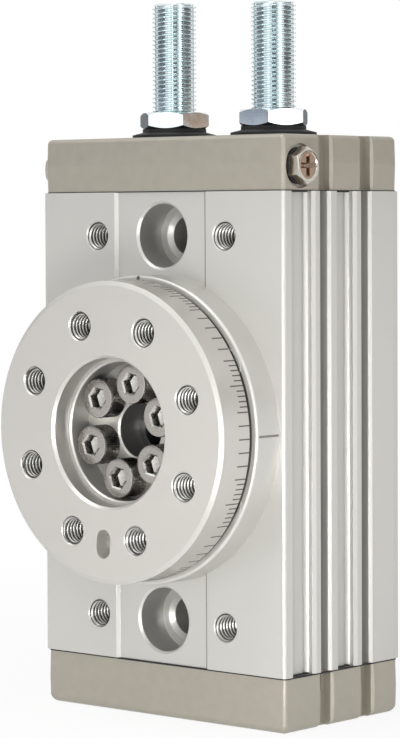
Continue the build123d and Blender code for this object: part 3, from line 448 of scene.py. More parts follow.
def facing_group():
    """Which way a surface faces: a painted highlight mask for slanted edges, and a painted shade for walls
    round a line along Y.
    """
    tree, given, end = new_group(
        "Painted edge highlight and wall shade",
        [("Centre", FLOAT, 0.0), ("Radius", FLOAT, 1.0), ("Inner radius", FLOAT, 0.0),
         ("Wall", FLOAT, 1.0), ("Inner wall", FLOAT, 1.0)],
        [("Highlight", FLOAT), ("Shade", FLOAT)])
    normal = add(tree, "ShaderNodeNewGeometry").outputs["Normal"]
    along = maths(tree, "ABSOLUTE", add(tree, "ShaderNodeSeparateXYZ", {0: normal}).outputs["Y"])
    slanted = maths(tree, "MULTIPLY", ramp(tree, along, 0.22, 0.40, 0.0, 1.0),
                    ramp(tree, along, 0.90, 0.97, 1.0, 0.0))

    spot = add(tree, "ShaderNodeSeparateXYZ", {0: object_place(tree)}).outputs
    height = maths(tree, "SUBTRACT", maths(tree, "ABSOLUTE", spot["Z"]), given["Centre"])
    flat = add(tree, "ShaderNodeCombineXYZ", {"X": spot["X"], "Z": height}).outputs[0]
    radius = vectors(tree, "LENGTH", {0: flat}, "Value")
    deep = maths(tree, "LESS_THAN", radius, given["Inner radius"])
    level = ramp(tree, deep, 0.0, 1.0, given["Wall"], given["Inner wall"], smooth=False)
    walls = maths(tree, "MULTIPLY", ramp(tree, along, 0.12, 0.30, 1.0, 0.0),
                  maths(tree, "LESS_THAN", radius, given["Radius"]))
    feed(tree, end, {"Highlight": slanted, "Shade": ramp(tree, walls, 0.0, 1.0, 1.0, level, smooth=False)})
    return tree


class Finish:
    """Builds the materials, all from the same four effect groups."""

    def __init__(self):
        self.grain = grain_group()
        self.rings = rings_group()
        self.tone = tone_group()
        self.facing = facing_group()

    def make(self, name, tint, roughness, metallic, rings=False, pattern_scale=3000.0,
             stretch=(1.0, 1.0, 1.0), bump=0.1, bump_height=0.02, amount=0.06, gloss_amount=0.06,
             tone_scale=60.0, rounded=0.0, edges=None, walls=None):
        """One material: a soft variation of colour and gloss, a fine pattern in relief and a rounded edge.

        A colour for slanted edges paints a highlight there, and walls round a centre line get a painted
        shade."""
        material, tree = new_material(name)
        tone = add(tree, "ShaderNodeGroup",
                   {"Colour": (*tint, 1.0), "Amount": amount * 4, "Roughness": roughness,
                    "Gloss amount": gloss_amount * 4, "Scale": tone_scale}, node_tree=self.tone)
        shown = tone.outputs["Colour"]
        # Painted shade darkens the walls round a centre line, and a painted highlight lightens the slanted
        # edges.
        if edges:
            facing = add(tree, "ShaderNodeGroup", walls, node_tree=self.facing).outputs
            shaded = vectors(tree, "SCALE", {0: shown, "Scale": facing["Shade"]})
            mixed = add(tree, "ShaderNodeMix", {0: facing["Highlight"], 6: shaded, 7: (*edges, 1.0)},
                        data_type="RGBA")
            shown = mixed.outputs[2]
        if rings:
            relief = add(tree, "ShaderNodeGroup", {"Scale": pattern_scale}, node_tree=self.rings)
        else:
            relief = add(tree, "ShaderNodeGroup", {"Stretch": stretch, "Scale": pattern_scale},
                         node_tree=self.grain)
        dent = add(tree, "ShaderNodeBump", {"Strength": bump, "Distance": bump_height * MM,
                                            "Height": relief.outputs["Height"]})
        if rounded:
            edge = add(tree, "ShaderNodeBevel", {"Radius": rounded}, samples=6)
            feed(tree, dent, {"Normal": edge.outputs["Normal"]})
        feed(tree, tree.nodes["Principled BSDF"],
             {"Base Color": shown, "Metallic": metallic, "Roughness": tone.outputs["Roughness"],
              "Normal": dent.outputs["Normal"]})
        return material


def make_materials():
    """Every material of the record's slots, by slot name, and five more for single features."""
    make = Finish().make
    tints = settings().finishes
    shades = settings().walls
    edge = tints.edge_radius
    # Painted shade on the walls of the bores, the bowl and the cap screws' heads; painted highlights on their
    # edges.
    bores = {"Centre": settings().patterns.face_height / 2, "Radius": shades.bore_radius,
             "Inner radius": shades.narrow_radius, "Wall": shades.bore, "Inner wall": shades.narrow}
    bowl = {"Radius": shades.bowl_radius, "Inner radius": shades.hollow_radius, "Wall": shades.bowl,
            "Inner wall": shades.hollow}
    heads = {"Wall": shades.head}
    return {
        "clear_anodised": make("clear anodised", tints.anodised, 0.40, 0.5, pattern_scale=9000.0, bump=0.25,
                               rounded=edge, amount=0.03, tone_scale=25.0, edges=tints.body_edge_highlight,
                               walls=bores),
        "anodised_table": make("anodised table", tints.table, 0.38, 0.55, pattern_scale=9000.0, bump=0.22,
                               rounded=edge, amount=0.03, tone_scale=25.0, edges=tints.bright, walls=bowl),
        "cut_thread": make("cut threads", tints.anodised, 0.36, 0.5, bump=0.15),
        "thread_root_shade": make("painted thread root shade", tints.root, 0.45, 0.2, bump=0.15),
        "cast_grey": make("cast grey", tints.cast, 0.44, 0.55, pattern_scale=3600.0, bump=0.45,
                          bump_height=0.05, rounded=edge, amount=0.05, tone_scale=400.0),
        "zinc_steel": make("zinc plate", tints.zinc, 0.13, 1.0, pattern_scale=1500.0, amount=0.05,
                           tone_scale=300.0),
        "nickel_screw": make("nickel screw", tints.nickel, 0.26, 1.0, pattern_scale=2500.0, bump=0.3,
                             amount=0.10, gloss_amount=0.08, tone_scale=900.0, edges=tints.body_edge_highlight,
                             walls=heads),
        "plug_nickel": make("plug nickel", tints.plug, 0.20, 1.0, pattern_scale=2000.0, bump=0.25,
                            amount=0.12, tone_scale=700.0),
        "plug_flank_highlight": make("plug flanks with painted highlight", tints.plug_flank_highlight, 0.24, 1.0, pattern_scale=2000.0, bump=0.25,
                          amount=0.10, tone_scale=700.0),
        "bearing_steel": make("bearing steel", tints.steel, 0.25, 1.0, rings=True, bump=0.15),
        "ball_steel": make("polished balls", tints.ball, 0.06, 1.0, bump=0.02),
        "shaft_steel": make("nitrided shaft", tints.shaft, 0.34, 1.0, bump=0.2, rounded=edge),
        "piston_steel": make("nitrided piston", tints.shaft, 0.30, 1.0, stretch=(1.0, 1.0, 0.1), bump=0.2,
                             rounded=edge),
        "plate_aluminium": make("milled plate", tints.plate, 0.35, 1.0, stretch=(0.05, 1.0, 1.0), bump=0.2),
        "black_rubber": make("black rubber", tints.rubber, 0.68, 0.0, pattern_scale=2500.0, bump=0.2,
                             amount=0.15),
        "wear_resin": make("wear resin", tints.resin, 0.50, 0.0, bump=0.15),
        "magnet_grey": make("sintered magnet", tints.magnet, 0.42, 0.9, pattern_scale=4000.0, bump=0.3),
        "marks_and_gap_shade": make("printed marks and painted gap shade", tints.marks_and_gap_shade, 0.60, 0.0, pattern_scale=5000.0, bump=0.15,
                        amount=0.12, tone_scale=900.0),
        # The index mark's material also paints the shade strip in the front band's corner.
        "index": make("index mark", tints.index, 0.60, 0.0, pattern_scale=5000.0, bump=0.15, amount=0.20,
                      tone_scale=500.0),
    }


materials = {}


# Mesh tools

def linked(bm, name, *finishes):
    """Object made of a bmesh, with its materials, in the scene."""
    mesh = bpy.data.meshes.new(name)
    bm.to_mesh(mesh)
    bm.free()
    for finish in finishes:
        mesh.materials.append(finish)
    piece = bpy.data.objects.new(name, mesh)
    bpy.context.scene.collection.objects.link(piece)
    return piece


def between(bm, verts):
    """Edges that have both ends in a set of vertices."""
    inside = set(verts)
    return [edge for edge in bm.edges if edge.verts[0] in inside and edge.verts[1] in inside]


def radius_of(vert):
    """Distance of a vertex from the Z axis."""
    return hypot(vert.co.x, vert.co.y)


def scale_across(vert, factor):
    """Moves a vertex towards the Z axis or away from it."""
    vert.co.x *= factor
    vert.co.y *= factor


def block(bm, middle, size, turn=Matrix()):
    """Adds a box round a middle, turned about the origin, and returns its vertices."""
    place = turn @ Matrix.Translation(middle) @ Matrix.Diagonal((*size, 1.0))
    return bmesh.ops.create_cube(bm, size=1.0, matrix=place)["verts"]


def turned(bm, outline, steps):
    """Spins a profile of (radius, height) points full round Z and returns its vertices."""
    verts = [bm.verts.new((radius, 0.0, height)) for radius, height in outline]
    edges = [bm.edges.new(pair) for pair in zip(verts, verts[1:])]
    before = set(bm.verts) - set(verts)
    bmesh.ops.spin(bm, geom=verts + edges, cent=(0, 0, 0), axis=(0, 0, 1), dvec=(0, 0, 0), angle=2 * pi,
                   steps=steps, use_merge=True)
    return [vert for vert in bm.verts if vert not in before]


def rim(bm, height):
    """Open edges at a height."""
    return [edge for edge in bm.edges
            if edge.is_boundary and all(abs(vert.co.z - height) < NEAR for vert in edge.verts)]


def step(bm, edges, drop, factor=1.0):
    """Extrudes a loop of edges down and scales it about the axis. Returns the new loop."""
    made = bmesh.ops.extrude_edge_only(bm, edges=edges)["geom"]
    verts = [item for item in made if isinstance(item, bmesh.types.BMVert)]
    for vert in verts:
        scale_across(vert, factor)
        vert.co.z -= drop
    return between(bm, verts)


def hex_socket(bm, top, across_flats, depth, chamfer):
    """Closes the rim at the top with a face that has a chamfered hexagon socket with a coned floor."""
    mouth = across_flats / 2 + chamfer
    outer = rim(bm, top)
    hexagon = bmesh.ops.create_circle(bm, segments=6, radius=mouth / cos(radians(30)),
                                      matrix=Matrix.Translation((0, 0, top)))["verts"]
    edges = between(bm, hexagon)
    bmesh.ops.triangle_fill(bm, use_beauty=True, edges=outer + edges, normal=(0, 0, 1))
    edges = step(bm, edges, chamfer, across_flats / 2 / mouth)
    edges = step(bm, edges, depth - chamfer)
    edges = step(bm, edges, across_flats * SOCKET_CONE, SOCKET_CONE_TIP)
    bmesh.ops.holes_fill(bm, edges=edges, sides=0)


def thread(bm, root, crest, pitch, bottom, top, steps):
    """Right-hand outer thread between two heights, open at both ends."""
    outline = ((root, 0.0), (root, pitch / 8), (crest, pitch * 7 / 16), (crest, pitch * 9 / 16),
               (root, pitch * 7 / 8), (root, pitch))
    first = bottom - 1.5 * pitch
    verts = [bm.verts.new((radius, 0.0, first + height)) for radius, height in outline]
    edges = [bm.edges.new(pair) for pair in zip(verts, verts[1:])]
    bmesh.ops.spin(bm, geom=verts + edges, cent=(0, 0, 0), axis=(0, 0, 1), dvec=(0, 0, pitch / steps),
                   angle=2 * pi, steps=steps, use_merge=False)
    turn = bm.verts[:] + bm.edges[:] + bm.faces[:]
    turns = int((top - first) / pitch) + 1
    for _ in range(turns):
        turn = bmesh.ops.duplicate(bm, geom=turn)["geom"]
        moved = [item for item in turn if isinstance(item, bmesh.types.BMVert)]
        bmesh.ops.translate(bm, verts=moved, vec=(0, 0, pitch))
    bmesh.ops.remove_doubles(bm, verts=bm.verts, dist=pitch / 200)
    for height, way in ((bottom, -1), (top, 1)):
        bmesh.ops.bisect_plane(bm, geom=bm.verts[:] + bm.edges[:] + bm.faces[:], dist=NEAR / 10,
                               plane_co=(0, 0, height), plane_no=(0, 0, way), clear_outer=True)
        for vert in bm.verts:
            if abs(vert.co.z - height) < NEAR:
                vert.co.z = height


def hold_inside(bm, limit):
    """Pulls every vertex in to the radius that its height allows."""
    for vert in bm.verts:
        radius = radius_of(vert)
        most = limit(vert.co.z)
        if radius > most:
            scale_across(vert, most / radius)


def thread_ridge(bm, wall, pitch, depth, mouth):
    """The ridge that a tap leaves in a hole, from z = 0 at the face down, cut back by the countersink.

    The foot of its flanks takes the second material, a painted shade between the ridges."""
    steps = 40
    base = wall - RIDGE_CLEARANCE
    crest = wall - 0.5 * pitch
    half = crest + (base - crest) * 0.3
    turns = int(depth / pitch - 0.5)
    start = -RIDGE_START - turns * pitch
    outline = ((base, -0.46), (half, -0.2), (crest, -0.09), (crest, 0.09), (half, 0.2), (base, 0.46))
    verts = [bm.verts.new((radius, 0.0, start + rise * pitch)) for radius, rise in outline]
    section = bm.faces.new(verts)
    bmesh.ops.spin(bm, geom=[section] + list(section.edges) + verts, cent=(0, 0, 0), axis=(0, 0, 1),
                   dvec=(0, 0, pitch / steps), angle=2 * pi * turns, steps=steps * turns, use_merge=False)
    # Painted shade: faces near the foot of the flanks get the dark second material.
    for face in bm.faces:
        middle = face.calc_center_median()
        face.material_index = int(hypot(middle.x, middle.y) > half)
    for vert in bm.verts:
        vert.co.z = min(vert.co.z, -RIDGE_BELOW_FACE)
        radius = radius_of(vert)
        least = min(base, mouth + vert.co.z)
        if radius < least:
            scale_across(vert, least / radius)


def placed(source, places):
    """One bmesh with a copy of the source at each place."""
    whole = bmesh.new()
    mesh = bpy.data.meshes.new("one copy")
    source.to_mesh(mesh)
    source.free()
    for place in places:
        before = len(whole.verts)
        whole.from_mesh(mesh)
        whole.verts.ensure_lookup_table()
        bmesh.ops.transform(whole, matrix=place, verts=whole.verts[before:])
    bpy.data.meshes.remove(mesh)
    return whole


def round_axis(turn):
    """Turn about the table's axis, counter-clockwise as seen from the front."""
    return Matrix.Rotation(-turn, 4, "Y")


def round_table(number, circle, distance):
    """Places on a circle round the table's axis, facing the way the table does."""
    first = settings().patterns.first_angle
    spot = Matrix.Translation((circle / 2, -distance, 0)) @ TOWARDS_TABLE
    return [round_axis(first + 2 * pi * k / number) @ spot for k in range(number)]


def finish_piece(bm, name, slot, body, replaces=(), material=None, second=None):
    """Turns a bmesh into a piece with its materials, its body and the nodes it stands for."""
    bmesh.ops.recalc_face_normals(bm, faces=bm.faces)
    for face in bm.faces:
        face.smooth = True
    for edge in bm.edges:
        edge.smooth = len(edge.link_faces) == 2 and edge.calc_face_angle(0.0) < SHARP_EDGE
    open_edges = sum(1 for edge in bm.edges if not edge.is_manifold)
    if open_edges:
        raise RuntimeError(f"{name} has {open_edges} open edges")
    names = [material or slot, second] if second else [material or slot]
    piece = linked(bm, name, *[materials[key] for key in names])
    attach(piece, body)
    if replaces:
        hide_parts(*replaces)


# Operators

class ROTARY_OT_finishes(bpy.types.Operator):
    """Gives every CAD part the finish of its material slot"""
    bl_idname = "rotary_table.finishes"
    bl_label = "Finishes"

    def execute(self, context):
        materials.update(make_materials())
        for part in frame["record"]["subparts"]:
            piece = frame["nodes"][part["node"]]
            material = materials[part["material_slot"]]
            if not piece.material_slots:
                piece.data.materials.append(material)
            for place in piece.material_slots:
                place.material = material
        return {"FINISHED"}


class ROTARY_OT_adjustment_bolts(bpy.types.Operator):
    """Two adjustment bolts with a real thread, a chamfer and a hexagon socket"""
    bl_idname = "rotary_table.adjustment_bolts"
    bl_label = "Adjustment bolts"

    def execute(self, context):
        sizes = settings().threads
        chamfer = sizes.bolt_end_chamfer
        for side in ("left", "right"):
            low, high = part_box(f"{side}_adjust_bolt")
            bottom, top = low[2], high[2]
            crest = (high[0] - low[0]) / 2
            bm = bmesh.new()
            thread(bm, crest - sizes.bolt_thread_depth, crest, sizes.bolt_pitch, bottom, top, 48)
            hold_inside(bm, lambda z: crest - chamfer + min(z - bottom, top - z))
            hex_socket(bm, top, sizes.bolt_socket, sizes.bolt_socket_depth, sizes.bolt_socket_chamfer)
            bmesh.ops.holes_fill(bm, edges=rim(bm, bottom), sides=0)
            centre = ((low[0] + high[0]) / 2, (low[1] + high[1]) / 2, 0)
            bmesh.ops.translate(bm, verts=bm.verts, vec=centre)
            finish_piece(bm, f"{side}_threaded_bolt", "zinc_steel", f"{side}_bolt", [f"{side}_adjust_bolt"])
        return {"FINISHED"}


class ROTARY_OT_cap_screws(bpy.types.Operator):
    """Six socket cap screws with knurled heads in the table's bowl"""
    bl_idname = "rotary_table.cap_screws"
    bl_label = "Cap screws"

    def execute(self, context):
        sizes = settings().screws
        thread_depth = 0.5 * sizes.pitch
        bm = bmesh.new()
        thread(bm, sizes.radius - thread_depth, sizes.radius, sizes.pitch, -sizes.shank, 0.0, 24)
        hold_inside(bm, lambda z: sizes.radius - thread_depth + (z + sizes.shank) if z < 0 else sizes.radius)
        bmesh.ops.holes_fill(bm, edges=rim(bm, -sizes.shank), sides=0)

        edge = sizes.edge
        side = sizes.head_radius
        top = sizes.head_height
        knurl_from = sizes.seat_edge + 0.01 * MM
        knurl_to = top - 1.3 * edge
        outline = [(sizes.radius + 0.05 * MM, 0.0), (side - 0.8 * sizes.seat_edge, 0.0),
                   (side, sizes.seat_edge), (side, knurl_from), (side, knurl_to), (side, top - edge),
                   (side - 0.3 * edge, top - 0.3 * edge), (side - edge, top)]
        for vert in turned(bm, outline, 2 * sizes.knurls):
            between_ends = knurl_from - NEAR < vert.co.z < knurl_to + NEAR
            groove = round(atan2(vert.co.y, vert.co.x) / pi * sizes.knurls) % 2
            if radius_of(vert) > side - NEAR and between_ends and groove:
                scale_across(vert, 1 - sizes.knurl / radius_of(vert))
        bmesh.ops.triangle_fill(bm, use_beauty=True, edges=rim(bm, 0.0), normal=(0, 0, -1))
        hex_socket(bm, top, sizes.socket, sizes.socket_depth, sizes.socket_chamfer)
        places = round_table(settings().patterns.screws, settings().patterns.screw_circle, sizes.seat_at)
        finish_piece(placed(bm, places), "knurled_cap_screws", "nickel_screw", "rotating_table",
                     ["table_screws"])
        return {"FINISHED"}


class ROTARY_OT_hole_threads(bpy.types.Operator):
    """The threads inside the tapped holes of the table and of the body"""
    bl_idname = "rotary_table.hole_threads"
    bl_label = "Hole threads"

    def execute(self, context):
        sizes = settings().threads
        pattern = settings().patterns
        across = pattern.face_width / 2
        up = pattern.face_height / 2
        table = round_table(pattern.table_holes, pattern.table_circle, pattern.table_at)
        front = [Matrix.Translation((x * across, -pattern.face_at, z * up)) @ TOWARDS_TABLE
                 for x in (-1, 1) for z in (-1, 1)]
        rear = [Matrix.Translation((0, 0, z * up)) @ TOWARDS_REAR for z in (-1, 1)]
        small = (sizes.hole_radius, sizes.hole_pitch, sizes.hole_mouth)
        large = (sizes.rear_radius, sizes.rear_pitch, sizes.rear_mouth)
        for name, slot, body, (radius, pitch, mouth), depth, places in (
                ("table_hole_threads", "anodised_table", "rotating_table", small, pattern.table_thickness,
                 table),
                ("front_hole_threads", "clear_anodised", "housing", small, pattern.face_hole_depth, front),
                ("rear_hole_threads", "clear_anodised", "housing", large, pattern.rear_hole_depth, rear)):
            bm = bmesh.new()
            thread_ridge(bm, radius, pitch, depth, mouth)
            finish_piece(placed(bm, places), name, slot, body, material="cut_thread", second="thread_root_shade")
        return {"FINISHED"}


def loop_at(bm, radius, height, hexagon=False):
    """Closed loop of vertices at a height, round or with six flats."""
    verts = bmesh.ops.create_circle(bm, segments=PLUG_SEGMENTS, radius=radius,
                                    matrix=Matrix.Translation((0, 0, height)))["verts"]
    if hexagon:
        sixth = pi / 3
        for vert in verts:
            turn = (atan2(vert.co.y, vert.co.x) + pi) % sixth - sixth / 2
            scale_across(vert, 1 / cos(turn))
    return verts


def cross_recess(bm, sizes, height):
    """Closes the rim at a height with a flat face that has a cross recess in it."""
    grid = bmesh.ops.create_grid(bm, x_segments=3, y_segments=3, size=1.0)["verts"]
    half_width = sizes.cross_width / 2
    for vert in grid:
        for axis in (0, 1):
            reach = sizes.cross_length / 2 if abs(vert.co[axis]) > 0.5 else half_width
            vert.co[axis] = reach if vert.co[axis] > 0 else -reach
        vert.co.z = height
    squares = {face for vert in grid for face in vert.link_faces}
    corners = [face for face in squares
               if all(abs(face.calc_center_median()[axis]) > half_width for axis in (0, 1))]
    bmesh.ops.delete(bm, geom=corners, context="FACES")
    grid = [vert for vert in grid if vert.is_valid]
    bmesh.ops.delete(bm, geom=list({face for vert in grid for face in vert.link_faces}), context="FACES_ONLY")
    inside = [edge for edge in between(bm, grid)
              if edge.is_wire and max(radius_of(vert) for vert in edge.verts) < half_width * 1.5]
    bmesh.ops.delete(bm, geom=inside, context="EDGES")
    cross = between(bm, grid)
    outer = [edge for edge in rim(bm, height) if edge not in cross]
    bmesh.ops.triangle_fill(bm, use_beauty=True, edges=outer + cross, normal=(0, 0, 1))
    floor = step(bm, cross, sizes.cross_depth, sizes.cross_taper)
    bmesh.ops.holes_fill(bm, edges=floor, sides=0)


class ROTARY_OT_port_plugs(bpy.types.Operator):
    """The plugs of the side ports, with a hexagon head and a cross recess"""
    bl_idname = "rotary_table.port_plugs"
    bl_label = "Port plugs"

    def execute(self, context):
        sizes = settings().plugs
        inner = sizes.face_radius - sizes.rim
        face_at = sizes.height - sizes.sink
        chamfer = sizes.thread_chamfer
        flat = sizes.across_flats / 2
        bm = bmesh.new()
        loops = [
            loop_at(bm, sizes.thread_radius - chamfer, -sizes.thread_length),
            loop_at(bm, sizes.thread_radius, -sizes.thread_length + chamfer),
            loop_at(bm, sizes.thread_radius, 0.0),
            loop_at(bm, flat, 0.0, hexagon=True),
            loop_at(bm, flat, sizes.height, hexagon=True),
            loop_at(bm, sizes.face_radius, sizes.height),
            loop_at(bm, inner, sizes.height),
            loop_at(bm, inner - sizes.rim / 3, face_at),
        ]
        for vert in loops[4]:
            vert.co.z -= (radius_of(vert) - sizes.face_radius) * tan(sizes.head_chamfer)
        edges = [between(bm, verts) for verts in loops]
        for lower, upper in zip(edges, edges[1:]):
            bmesh.ops.bridge_loops(bm, edges=lower + upper)
        bmesh.ops.holes_fill(bm, edges=rim(bm, -sizes.thread_length), sides=0)
        cross_recess(bm, sizes, face_at)
        # Painted highlight: the flanks and the rim take the lighter second material.
        for side in bm.faces:
            reach = max(radius_of(vert) for vert in side.verts)
            side.material_index = int(len(side.verts) == 4 and reach > inner - 0.1 * MM)
        places = [Matrix.Translation((sign * sizes.seat_x, -sizes.at, sizes.z))
                  @ Matrix.Rotation(sign * radians(90), 4, "Y") for sign in (-1, 1)]
        finish_piece(placed(bm, places), "cross_recess_plugs", "plug_nickel", "housing",
                     ["side_port_plugs"], second="plug_flank_highlight")
        return {"FINISHED"}


def mark(bm, radius, start, reach, width, turn=Matrix()):
    """Adds a printed mark on a round wall, along Y from its start."""
    depth = settings().scale.mark_depth
    middle = (radius + settings().scale.proud - depth / 2, -start - reach / 2, 0)
    block(bm, middle, (depth, reach, width), turn)


class ROTARY_OT_scale(bpy.types.Operator):
    """The scale on the table's rim and the index mark on the retainer"""
    bl_idname = "rotary_table.scale"
    bl_label = "Scale"

    def execute(self, context):
        sizes = settings().scale
        pattern = settings().patterns
        sector = 360 / pattern.table_holes
        ticks = {0: sizes.long_tick}
        for degrees in (2, 4, 6, 8):
            ticks[degrees] = sizes.short_tick
            ticks[sector - degrees] = sizes.short_tick
        for degrees in range(10, int(sector) - 9, 5):
            ticks[degrees] = sizes.medium_tick
        bm = bmesh.new()
        for k in range(pattern.table_holes):
            for degrees, reach in ticks.items():
                turn = round_axis(pattern.first_angle + radians(k * sector + degrees))
                mark(bm, sizes.rim_radius, sizes.rear_at, reach, sizes.width, turn)
        finish_piece(bm, "rim_scale", "anodised_table", "rotating_table", material="marks_and_gap_shade")

        bm = bmesh.new()
        mark(bm, sizes.index_radius, sizes.index_from, sizes.index_to - sizes.index_from, sizes.index_width)
        finish_piece(bm, "index_mark", "clear_anodised", "housing", material="index")
        return {"FINISHED"}


class ROTARY_OT_gap(bpy.types.Operator):
    """Caps over the retainer's screws, the dark ring of painted shade in the gap and the painted shade line
    in the front band's corner
    """
    bl_idname = "rotary_table.gap"
    bl_label = "Gap and band"

    def execute(self, context):
        sizes = settings().gap
        bm = bmesh.new()
        middle = -sizes.face_at - (sizes.relief - sizes.cap_sink) / 2
        spot = Matrix.Translation((sizes.cap_circle / 2, middle, 0)) @ TOWARDS_TABLE
        for degrees in COVERED_SCREWS:
            bmesh.ops.create_cone(bm, cap_ends=True, segments=48, radius1=sizes.cap_radius,
                                  radius2=sizes.cap_radius, depth=sizes.cap_sink + sizes.relief,
                                  matrix=round_axis(radians(degrees)) @ spot)
        finish_piece(bm, "retainer_screw_caps", "clear_anodised", "housing")

        # Painted shade: a dark ring in the marks' colour in the gap behind the table's rim.
        bm = bmesh.new()
        outline = [(sizes.shade_inner, -sizes.shade_sink), (sizes.shade_outer, -sizes.shade_sink),
                   (sizes.shade_outer, sizes.relief), (sizes.shade_inner, sizes.relief),
                   (sizes.shade_inner, -sizes.shade_sink)]
        turned(bm, outline, 128)
        bmesh.ops.remove_doubles(bm, verts=bm.verts, dist=NEAR / 10)
        bmesh.ops.transform(bm, matrix=Matrix.Translation((0, -sizes.face_at, 0)) @ TOWARDS_TABLE,
                            verts=bm.verts)
        finish_piece(bm, "gap_shade_ring", "black_rubber", "housing", material="marks_and_gap_shade")

        # Painted shade: dark strips along the corner of the front band's step.
        bm = bmesh.new()
        overlap = 0.1 * MM
        start = (settings().scale.index_radius ** 2 - sizes.band_half_width ** 2) ** 0.5 - overlap
        reach = settings().seals.joint_z - start
        for end in (-1, 1):
            middle = (sizes.band_half_width - sizes.corner_shade_line / 2, -sizes.band_at + sizes.line_sink,
                      end * (start + reach / 2))
            block(bm, middle, (sizes.corner_shade_line, sizes.line_depth, reach))
        finish_piece(bm, "band_corner_shade_line", "clear_anodised", "housing", material="index")
        return {"FINISHED"}


def joint_frame(bm, width, depth, height, middle):
    """Thin frame with rounded corners, as a gasket's edge shows round a joint."""
    made = block(bm, middle, (width, depth, height))
    upright = [edge for edge in between(bm, made)
               if abs(edge.verts[0].co.z - edge.verts[1].co.z) > height / 2]
    bmesh.ops.bevel(bm, geom=upright, offset=1.0 * MM, offset_type="OFFSET", segments=4, profile=0.5,
                    affect="EDGES", material=-1)
    flat = [face for face in bm.faces if abs(face.normal.z) > 0.9 and face.calc_area() > width * depth / 2
            and abs(face.calc_center_median().z - middle[2]) < height]
    for face in flat:
        face.normal_update()
    bmesh.ops.inset_individual(bm, faces=flat, thickness=0.5 * MM)
    rims = [list(face.edges) for face in flat]
    bmesh.ops.delete(bm, geom=flat, context="FACES_ONLY")
    bmesh.ops.bridge_loops(bm, edges=rims[0] + rims[1])


class ROTARY_OT_seal_edges(bpy.types.Operator):
    """The black seal edges in the side channels and the dark joints between the body and its covers"""
    bl_idname = "rotary_table.seal_edges"
    bl_label = "Seal edges"

    def execute(self, context):
        sizes = settings().seals
        bm = bmesh.new()
        across = (sizes.inner_x + sizes.outer_x) / 2
        up = sizes.joint_z - sizes.thickness / 2
        for rear, front in ((sizes.front_channel_rear, sizes.front_channel_front),
                            (sizes.rear_channel_rear, sizes.rear_channel_front)):
            for side in (-1, 1):
                for end in (-1, 1):
                    block(bm, (across * side, -(rear + front) / 2, end * up),
                          (sizes.outer_x - sizes.inner_x, front - rear, sizes.thickness))
        finish_piece(bm, "channel_seal_edges", "black_rubber", "housing")

        bm = bmesh.new()
        width = 2 * (sizes.cover_half_width + sizes.line_proud)
        depth = sizes.cover_front - sizes.cover_rear + 2 * sizes.line_proud
        for end, line in ((-1, sizes.lower_line), (1, sizes.upper_line)):
            middle = (0, -(sizes.cover_front + sizes.cover_rear) / 2, end * (sizes.joint_z + line / 2))
            joint_frame(bm, width, depth, line, middle)
        finish_piece(bm, "joint_lines", "black_rubber", "housing")
        return {"FINISHED"}


def soft_light(name, location, target, width, watts, height):
    """Area light that points at a place, square unless it has a height of its own."""
    lamp = bpy.data.lights.new(name, "AREA")
    lamp.energy = watts
    lamp.shape = "RECTANGLE" if height else "SQUARE"
    lamp.size = width
    if height:
        lamp.size_y = height
    light = bpy.data.objects.new(name, lamp)
    light.location = location
    light.visible_camera = False
    light.rotation_euler = (Vector(target) - Vector(location)).to_track_quat("-Z", "Y").to_euler()
    bpy.context.scene.collection.objects.link(light)


def seen_mask(tree):
    """One where the camera, gloss or glass looks at the surface, zero for the light that it gives."""
    path = add(tree, "ShaderNodeLightPath").outputs
    seen = maths(tree, "ADD", path["Is Camera Ray"], path["Is Glossy Ray"], use_clamp=True)
    return maths(tree, "ADD", seen, path["Is Transmission Ray"], use_clamp=True)


def plain_glow(tree, tint):
    """Shader that shows a colour as it is."""
    return add(tree, "ShaderNodeEmission", {"Color": (*tint, 1.0), "Strength": 1.0}).outputs[0]


def reflector(name, first, last, low, high, tint):
    """Curved card round the object, between two bearings and two heights, that only gloss sees."""
    start = radians(first - 90)
    radius = CARD_RADIUS * MM
    bm = bmesh.new()
    verts = [bm.verts.new((radius * cos(start), radius * sin(start), z * MM)) for z in (low, high)]
    edge = bm.edges.new(verts)
    bmesh.ops.spin(bm, geom=[edge] + verts, cent=(0, 0, 0), axis=(0, 0, 1), dvec=(0, 0, 0),
                   angle=radians(last - first), steps=16, use_merge=False)
    bmesh.ops.translate(bm, verts=bm.verts, vec=MIDDLE)
    material, tree = new_material(name)
    feed(tree, tree.nodes["Material Output"], {"Surface": plain_glow(tree, tint)})
    card = linked(bm, name, material)
    card.visible_camera = False
    card.visible_diffuse = False
    card.visible_shadow = False


def set_camera(scene):
    """Puts the camera where the picture was taken."""
    width, height = PICTURE
    lens = bpy.data.cameras.new("camera")
    lens.sensor_width = SENSOR
    lens.lens = FOCAL_LENGTH / height * SENSOR
    lens.shift_x = (width / 2 - PICTURE_CENTRE[0]) / height
    lens.shift_y = (PICTURE_CENTRE[1] - height / 2) / height
    lens.clip_start = 0.01
    lens.clip_end = 50
    away = Vector((1, 0, 0))
    away.rotate(Matrix.Rotation(-CAMERA_ELEVATION, 4, "Y"))
    away.rotate(Matrix.Rotation(CAMERA_AZIMUTH - radians(90), 4, "Z"))
    camera = bpy.data.objects.new("camera", lens)
    camera.rotation_mode = "QUATERNION"
    camera.location = (Vector(CAMERA_TARGET) + away * CAMERA_DISTANCE) * MM
    camera.rotation_quaternion = (-away).to_track_quat("-Z", "Y") @ Quaternion((0, 0, 1), CAMERA_ROLL)
    scene.collection.objects.link(camera)
    scene.camera = camera


def set_world(scene, stage):
    """Even light from all round, with the background's full brightness where it is seen."""
    world = bpy.data.worlds.new("studio")
    world.use_nodes = True
    tree = world.node_tree
    level = ramp(tree, seen_mask(tree), 0.0, 1.0, stage.ambient, 1.0, smooth=False)
    feed(tree, tree.nodes["Background"], {"Color": (*stage.background, 1.0), "Strength": level})
    scene.world = world


